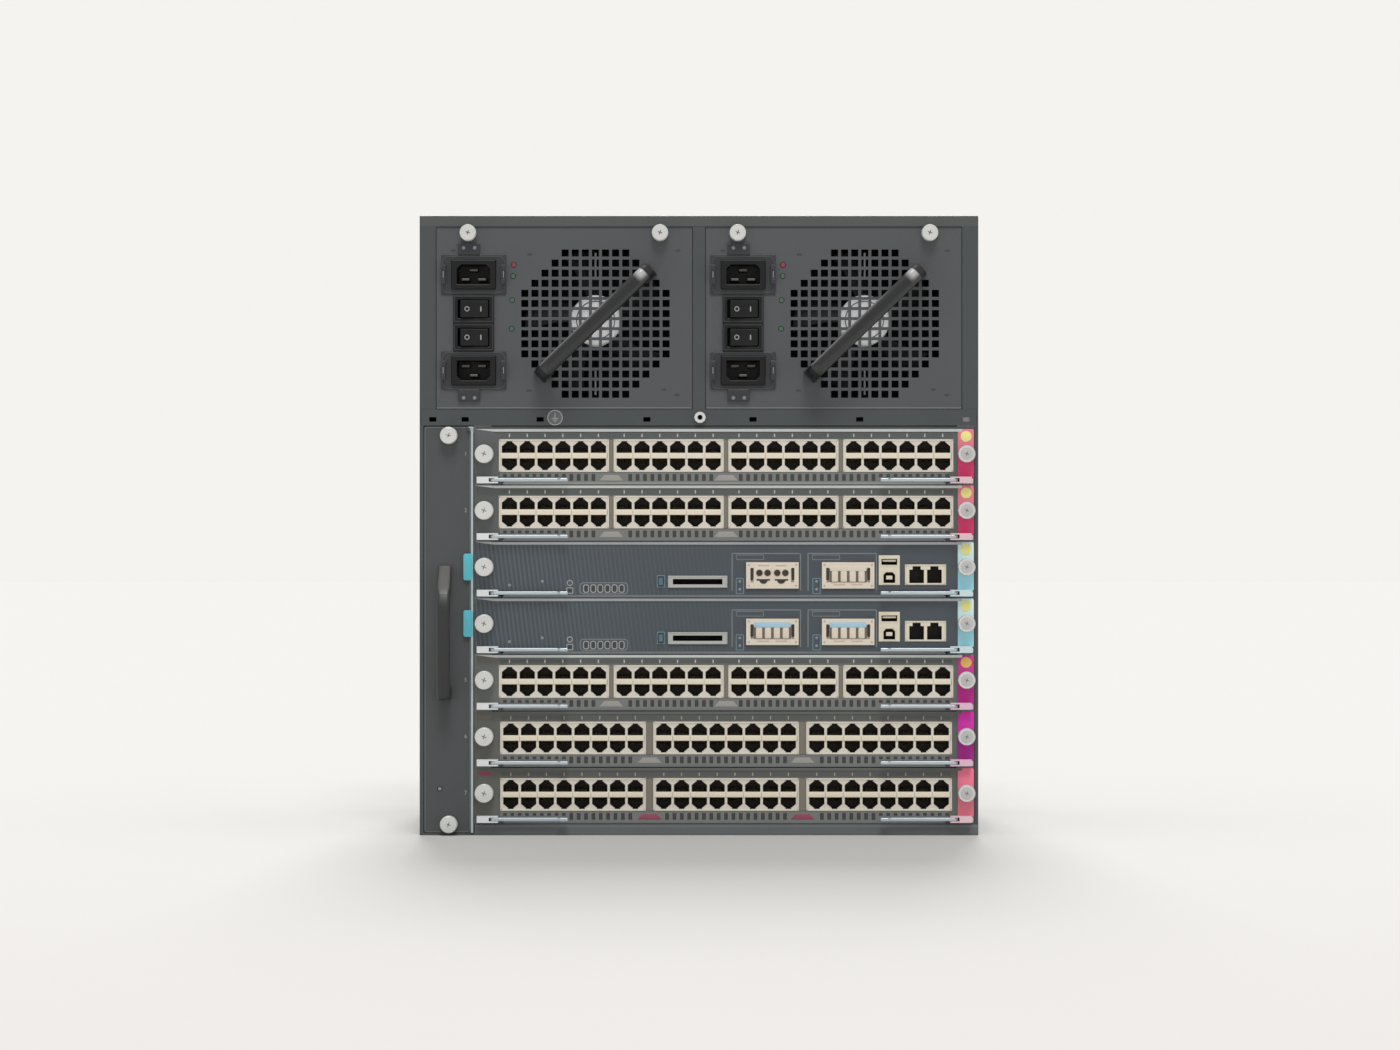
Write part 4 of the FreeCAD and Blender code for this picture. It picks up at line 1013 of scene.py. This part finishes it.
blade_count = 5
blade = fan_blade(18.5, 55.5, 26.0, 1.5)
for number in supplies:
    rotor = "psu_%d_rotor" % number
    low, high = reach(rotor)
    middle = (low + high) / 2
    work = bmesh.new()
    for k in range(blade_count):
        stamp(work, blade, middle, 0, Matrix.Rotation(math.tau * k / blade_count, 4, "Y"))
    # The pale hub glows a little: painted light.
    stamp(work, disc(20.0, 24.0, 48, 2.5), (middle.x, high.y, middle.z), 1)
    stamp(work, ring(15.5, 14.6, 0.2, 40), (middle.x, low.y, middle.z), 2)
    listed = "rotor_black hub_grey print_line"
    finish_piece(work, "psu_%d_fan_rotor" % number, rotor, listed, "rotor_black", rotor)
print("rotors: 2, blades each:", blade_count)

# %% [markdown]
# ## Small things on a supply's face
# A supply shows two kinds of state lamp, pressed dimples that locate the frame behind the sheet, drawn
# as dark plates of painted shade, two spring clips at the inlets, a folded sill whose pale edge is a
# painted highlight, and the plain O and I marks on its rockers.  The marks lie on a dished, tilted
# rocker, so each one is turned to the face that it sits on.

# %% Lamps, dimples, clips and sill
collar, lens = ring(2.2, 1.7, 0.2, 20), disc(1.75, 0.4, 20, 0.25)
dimple, rivet = plate(4.0, 1.7, 0.05, 0.8), disc(1.5, 1.2, 16, 0.5)
face_rows = []
for along, up, ink in ((60.8, 113.3, 0), (60.4, 104.4, 1), (59.6, 85.5, 1), (59.2, 63.0, 1)):
    face_rows += [(collar, along, up, 0, 2), (lens, along, up, 0, ink)]
# Each pressed dimple is a small dark plate: painted shade in the hollow.
dimples = (13.4, 124.4), (73.4, 121.3), (190.1, 124.4), (72.8, 14.2), (179.0, 15.0), (189.3, 10.7)
for along, up in dimples:
    face_rows.append((dimple, along, up, 0, 3))
# The pale strip along the sill is a painted highlight.
face_rows.append((plate(200.4, 1.1, 0.4, 0.0, 0.15), 100.6, 0.65, 0, 4))
face_rows.append((plate(200.4, 0.7, 0.2), 100.6, 142.2, 0, 5))
face_rows += [(rivet, along, up, 2.6, 6) for up in (126.4, 8.4) for along in (21.6, 30.2)]
for up in inlet_ups:
    face_rows.append((window_frame(49.6, 29.0, 0.35, 0.8, 5.0, 0.1), inlet_along, up, 1.2, 5))
    for along in (inlet_along - 23.7, inlet_along + 23.7):
        face_rows.append((plate(0.9, 5.6, 0.1, 0.3), along, up, 5.5, 6))
rocker_frame = window_frame(31.0, 20.6, 0.4, 0.9, 1.6, 0.15)
face_rows += [(rocker_frame, inlet_along, 67.2 + step, 2.5, 7) for step in (-11.15, 11.15)]
face_list = "lamp_red lamp_green moulded_black label_dark fold_grey chassis_paint print_line retainer_grey"
strut = plate(1.4, 20.0, 1.2, 0.3)
strut_rows = [(strut, fan_along, fan_up + step, -4.5, 0) for step in (46.0, -46.0)]
for number in supplies:
    name, at = "psu_%d" % number, on_supply[number]
    build(name + "_face_details", name, face_list, "retainer_grey", at, face_rows)
    build(name + "_fan_struts", name, "strut_grey", "module_shell", at, strut_rows)
print("supply faces: 2")

# %% Marks on the rockers
mark_off, mark_on = ring(2.0, 1.35, 0.12, 24), plate(0.9, 4.0, 0.12, 0.3)


def rocker_marks(name):
    work = bmesh.new()
    low, high = reach(name)
    middle = (low + high) / 2
    for side, mark in ((-1, mark_off), (1, mark_on)):
        facing = [f for f in nodes[name].data.polygons if f.normal.y < -0.8]
        facing = [f for f in facing if side * (f.center.x / mm - middle.x) > 0]
        face = max(facing, key=lambda f: f.area)
        lean = face.normal.copy()
        spot = Vector((middle.x + side * 5.4, 0, middle.z))
        away = spot - face.center / mm
        spot.y = face.center.y / mm - (lean.x * away.x + lean.z * away.z) / lean.y
        stamp(work, mark, spot, 0, Vector((0, -1, 0)).rotation_difference(lean).to_matrix().to_4x4())
    finish_piece(work, name + "_marks", name, "print_grey", "retainer_grey")


for number in supplies:
    for rocker in (1, 2):
        rocker_marks("psu_%d_rocker_%d" % (number, rocker))
print("rocker marks: 4")

# %% [markdown]
# ## Marks on the fan tray and the apron
# Plain numbers down the tray's edge name the seven slots.  A number starts as a text curve, because
# Blender's own letters are well drawn, and is made a mesh before it is stamped like any other mould.
# The two slots that hold control cards are picked out by a cyan tab that wraps round the tray's edge.

# %% Slot numbers, cyan tabs and the tray's lamp
def numeral(words, size):
    curve = bpy.data.curves.new("numeral", "FONT")
    curve.body = words
    curve.size = size
    curve.align_x, curve.align_y = "CENTER", "CENTER"
    curve.extrude = 0.04
    holder = put_in_scene("numeral", curve)
    bpy.context.view_layer.update()
    mesh = bpy.data.meshes.new_from_object(holder)
    mesh.transform(Matrix.Rotation(math.radians(90), 4, "X"))
    bpy.data.objects.remove(holder)
    bpy.data.curves.remove(curve)
    return mesh


rows = []
for number in slots:
    up, out = level[number] - tray_low.z, 0.05
    if number in control_slots:
        rows.append((plate(7.2, 21.0, 0.35, 1.6, 0.15), tray_width - 4.2, up, 2.6, 0))
        out = 3.05
    rows.append((numeral(str(number), 4.4), tray_width - 6.2, up, out, 1))
# The pale outline round the tray is a painted highlight on its bent edges.
outline = window_frame(tray_width - 2.6, tray_height - 0.6, 0.25, 0.9, 3.0, 0.1)
rows.append((outline, tray_width / 2 - 1.1, tray_height / 2, 0, 4))
rows += [(ring(2.0, 1.4, 0.2, 20), 12.2, 34.6, 0, 2), (disc(1.4, 0.4, 20, 0.2), 12.2, 34.6, 0, 3)]
listed = "cyan_label print_grey moulded_black lamp_dull tray_edge"
build("fan_tray_marks", "fan_tray", listed, "retainer_grey", on_tray, rows)

# %% The earth mark and the plain strips of the frame
on_apron = places_from(-113.3, reach("bay_shelf")[1].z - 6.6)
rows = [(disc(5.6, 0.1, 40), 0, 0, 0, 1), (ring(6.1, 5.3, 0.25, 40), 0, 0, 0, 0)]
rows.append((plate(0.8, 3.6, 0.2), 0, 1.6, 0, 0))
rows += [(plate(w, 0.7, 0.2), 0, up, 0, 0) for w, up in ((5.6, -0.6), (3.6, -1.9), (1.6, -3.2))]
build("earth_mark", "chassis", "print_grey tray_edge", "chassis_paint", on_apron, rows)

sill_width = shell_high.x - card_left - 0.8
sill_middle = (shell_high.x + card_left) / 2
# The top strip is lighter than the frame's paint: painted light on its tilted face.  The bottom strip is
# painted lighter as well, and the thin pale line on it is a painted highlight along its fold.
rows = (
    (plate(sill_width, 8.0, 0.05), sill_middle, 4.4, 0, 0),
    (plate(sill_width, 1.4, 0.1), sill_middle, 7.0, 0.05, 1),
    (plate(shell_high.x * 2 - 1.2, 7.2, 0.05), 0, shell_high.z - 4.4, 0, 2),
)
build("frame_strips", "chassis", "tray_edge fold_grey top_paint", "chassis_paint", on_front, rows)
print("marks on the tray and the apron done")

# %% [markdown]
# ## The control cards
# A control card carries a memory-card slot with its eject button, two transceiver cages, a pair of
# serial sockets and two small bus sockets.  The cages of one card hold optics with four round bores;
# the other cages hold dust plugs.  Thin printed frames group the sockets, and a row of rounded lamps
# shows the load.

# %% Optics and dust plugs in the cages
lip_plate = plate(9.0, 0.8, 0.1, 0.3)


def optics(along, up):
    """Two duplex optics: a pale block with two bores, and the handle's half moon below."""
    rows = []
    for middle in (along - 7.0, along + 7.0):
        rows.append((plate(12.8, 9.4, 0.5, 0.8, 0.15), middle, up + 1.7, 1.95, 0))
        for bore in (middle - 3.2, middle + 3.2):
            rows.append((ring(3.0, 2.5, 0.3, 20), bore, up + 1.9, 2.45, 2))
            # The dark disc in each bore is painted shade in the opening.
            rows.append((disc(2.55, 0.08, 20), bore, up + 1.9, 2.45, 1))
        rows.append((disc(3.4, 0.1, 24), middle, up - 3.2, 2.3, 1))
        rows.append((lip_plate, middle, up + 7.6, 2.0, 2))
    return rows


def dust_plugs(along, up, top):
    """Two pairs of upright plug grips under a coloured or plain top band."""
    rows = [(plate(29.4, 10.4, 0.4, 0.8, 0.1), along, up - 0.2, 1.95, 5)]
    rows += [(plate(5.0, 8.4, 1.0, 0.8, 0.4), x, up - 0.9, 2.1, 0) for x in spread_out(along, 4, 7.0)]
    rows.append((plate(28.8, 4.2, 0.9, 0.8, 0.3), along, up + 5.4, 2.1, top))
    return rows + [(lip_plate, x, up - 7.4, 2.0, 2) for x in (along - 7.0, along + 7.0)]


cage_places = (234.4, 294.0)
cage_up = -6.6
for number in control_slots:
    rows = []
    for along in cage_places:
        if number == 3 and along == cage_places[0]:
            rows += optics(along, cage_up)
        else:
            rows += dust_plugs(along, cage_up, 4 if number == 4 else 0)
        for side in (-1, 1):
            # The dark plates at the cage's sides stand for its latch slots: painted shade in the openings.
            rows.append((plate(2.2, 9.8, 0.08, 0.5), along + side * 16.2, cage_up + 1.0, 2.0, 1))
            for up in (cage_up - 8.2, cage_up + 8.2):
                rows.append((disc(0.9, 0.1, 12), along + side * 18.6, up, 2.0, 2))
    listed = "module_metal socket_dark plug_tan shield_metal plug_blue plug_shadow"
    build_on_card(number, "_cage_fill", listed, "module_shell", rows)
print("cages filled:", len(cage_places) * len(control_slots))

# %% Tongues and frames of the other connectors
bus_along = 326.4
rows = (
    (plate(10.6, 1.5, 4.0, 0.2, 0.1), bus_along, 4.9, -4.4, 0),
    (plate(5.0, 3.0, 4.0, 0.3, 0.2), bus_along, -8.4, -4.4, 0),
    (window_frame(15.4, 6.6, 0.3, 0.7, 0.8, 0.1), bus_along, 3.9, 0.6, 0),
    (window_frame(11.6, 10.6, 0.3, 0.7, 0.8, 0.1), bus_along, -8.4, 0.6, 0),
    (window_frame(31.6, 15.4, 0.35, 0.8, 0.8, 0.15), 354.9, -6.1, 0.6, 1),
    (window_frame(46.4, 9.2, 0.4, 1.0, 1.2, 0.15), 175.6, -11.6, 1.2, 2),
    (window_frame(6.6, 9.8, 0.5, 0.8, 1.0, 0.15), 146.7, -11.4, 0, 3),
)
for number in control_slots:
    listed = "ivory_body shield_metal bezel_grey print_blue"
    build_on_card(number, "_connector_trim", listed, "socket_shield", rows)
print("connector trim on", len(control_slots), "cards")

# %% Printed frames, load lamps and state lamps
load_along, state_along = 101.8, 75.0
upright, small_lamp = plate(0.8, 29.4, 0.06), disc(1.1, 0.3, 16, 0.2)
rows = []
for along, corner in ((202.3, 208.8), (262.1, 269.2)):
    rows += [
        (upright, along + 0.4, -3.9, 0, 0),
        (upright, along + 54.2, -3.9, 0, 0),
        (plate(53.8, 0.8, 0.06), along + 27.3, 10.6, 0, 0),
        (window_frame(22.0, 4.2, 0.06, 0.5, 1.0), along + 14.5, 7.6, 0, 0),
        (window_frame(6.4, 12.6, 0.06, 0.6, 0.8), corner, -15.0, 0, 1),
        (small_lamp, corner, -11.4, 0, 3),
        (small_lamp, corner, -17.6, 0, 3),
    ]
rows.append((window_frame(38.2, 9.4, 0.08, 0.7, 3.0), load_along, -16.8, 0, 0))
for along in spread_out(load_along, 6, 5.6):
    rows.append((window_frame(4.6, 6.6, 0.12, 0.7, 1.8), along, -17.0, 0, 2))
    rows.append((plate(3.0, 5.0, 0.1, 1.3), along, -17.0, 0, 4))
rows += [
    (ring(2.4, 1.7, 0.1, 24), state_along, -12.6, 0, 2),
    (window_frame(5.4, 5.0, 0.1, 0.7, 0.8), state_along, -18.6, 0, 2),
    (plate(3.2, 2.8, 0.12, 0.5), state_along, -18.6, 0, 4),
    (disc(1.2, 0.4, 16, 0.2), 53.3, -11.4, 0, 3),
    (disc(1.2, 0.4, 16, 0.2), 27.5, -14.4, 0, 3),
    (fold_plate, card_width / 2, -23.1, 0, 6),
    (lever_notch, 21.6, -22.9, 0.3, 5),
    (lever_notch, card_width - 21.6, -22.9, 0.3, 5),
]
for number in control_slots:
    listed = "print_line print_blue print_grey lamp_dull label_dark well_dark fold_grey"
    build_on_card(number, "_prints", listed, "control_paint", rows)
print("prints on", len(control_slots), "cards")

# %% [markdown]
# ## End tabs
# The right end of each card wears a coloured tab with a plain round mark, so that cards can be told
# apart from across a room.  The tab is a thin rounded plate under the screw, and the pivot's cover
# below it takes a paler tone of the same colour.

# %% Coloured end tabs
for number in slots:
    rows = [(plate(12.6, 38.6, 0.7, 1.6, 0.25), card_width - 6.6, 0.3, 0, 0)]
    if number < 6:
        rows.append((disc(4.3, 0.35, 32, 0.1), card_width - 6.4, 13.8, 0.7, 1))
    rows.append((plate(8.0, 4.2, 1.4, 0.9, 0.3), card_width - 4.8, -21.2, 0.2, 2))
    mark = "yellow_mark" if number < 5 else "orange_mark"
    listed = "tab_print_%d %s pivot_%d" % (number, mark, number)
    build_on_card(number, "_end_tab", listed, "retainer_grey", rows)
print("end tabs:", len(slots))

# %% [markdown]
# ## Studio
# The camera looks straight at the front from a little over three metres, through a long lens, so the
# sides stay hidden and the panel keeps its square shape.  A broad sun in front, three behind and an
# even sky give the light: a sun is the same over the whole floor, so the pale floor runs into the pale
# background without a seam.

# %% Floor
floor_shape = bmesh.new()
bmesh.ops.create_grid(floor_shape, x_segments=1, y_segments=1, size=14.0)
floor_mesh = cast(floor_shape)
floor = put_in_scene("floor", floor_mesh)
tree, shader, coordinates, grain = finish(
    "floor_paint", tone(229, 227, 224), 0.9, fineness=60, shift=0.004, bump=0.0, dust=0.0, specular=0.0
)
# The floor is painted a little darker towards the camera: painted shade.
near = ramp(tree, axes(tree, coordinates["Object"])["Y"], -1.5, -0.1)
feed(tree, grain.inputs["Colour"], blend(tree, near, tone(201, 198, 195), tone(206, 204, 201)))
floor_mesh.materials.append(finishes["floor_paint"])

# %% Sky and background
sky = bpy.data.worlds.new("sky")
bpy.context.scene.world = sky
sky.use_nodes = True
tree = sky.node_tree
tree.nodes.clear()
light = node(tree, "Background", {"Color": (0.98, 0.99, 1.0, 1), "Strength": 0.5}).outputs[0]
seen = node(tree, "Background", {"Color": tone(245, 243, 240)}).outputs[0]
camera_ray = node(tree, "LightPath").outputs["Is Camera Ray"]
choose = node(tree, "MixShader", {0: camera_ray, 1: light, 2: seen})
node(tree, "OutputWorld", {"Surface": choose.outputs[0]})


# %% Suns
def sun(name, strength, height, round_from_front, width):
    lamp = bpy.data.lights.new(name, "SUN")
    lamp.energy = strength
    lamp.angle = math.radians(width)
    holder = put_in_scene(name, lamp)
    holder.rotation_euler = (math.radians(90 - height), 0, math.radians(round_from_front))


sun("key_sun", 1.35, 56, 4, 24)
for part, (strength, height) in enumerate(((1.3, 30), (1.1, 42), (0.8, 56))):
    sun("back_sun_%d" % part, strength, height, 180, 17)

# %% Camera
distance = 3.2
view_width = 1.1018
camera_data = bpy.data.cameras.new("camera")
camera_data.sensor_width = 36
camera_data.lens = camera_data.sensor_width * distance / view_width
camera_data.clip_end = 60
camera = put_in_scene("camera", camera_data)
bpy.context.scene.camera = camera
camera.location = (0.0008, front * mm - distance, shell_high.z * mm / 2 + 0.0004)
camera.rotation_euler = (math.radians(90), 0, 0)
bpy.context.scene.view_settings.view_transform = "Standard"
print("lens", round(camera_data.lens, 1), "mm at", distance, "m")

# %% Update the scene and count the pieces
bpy.context.view_layer.update()
print("pieces:", len(made_pieces), "faces:", sum(count for _, count in made_pieces))
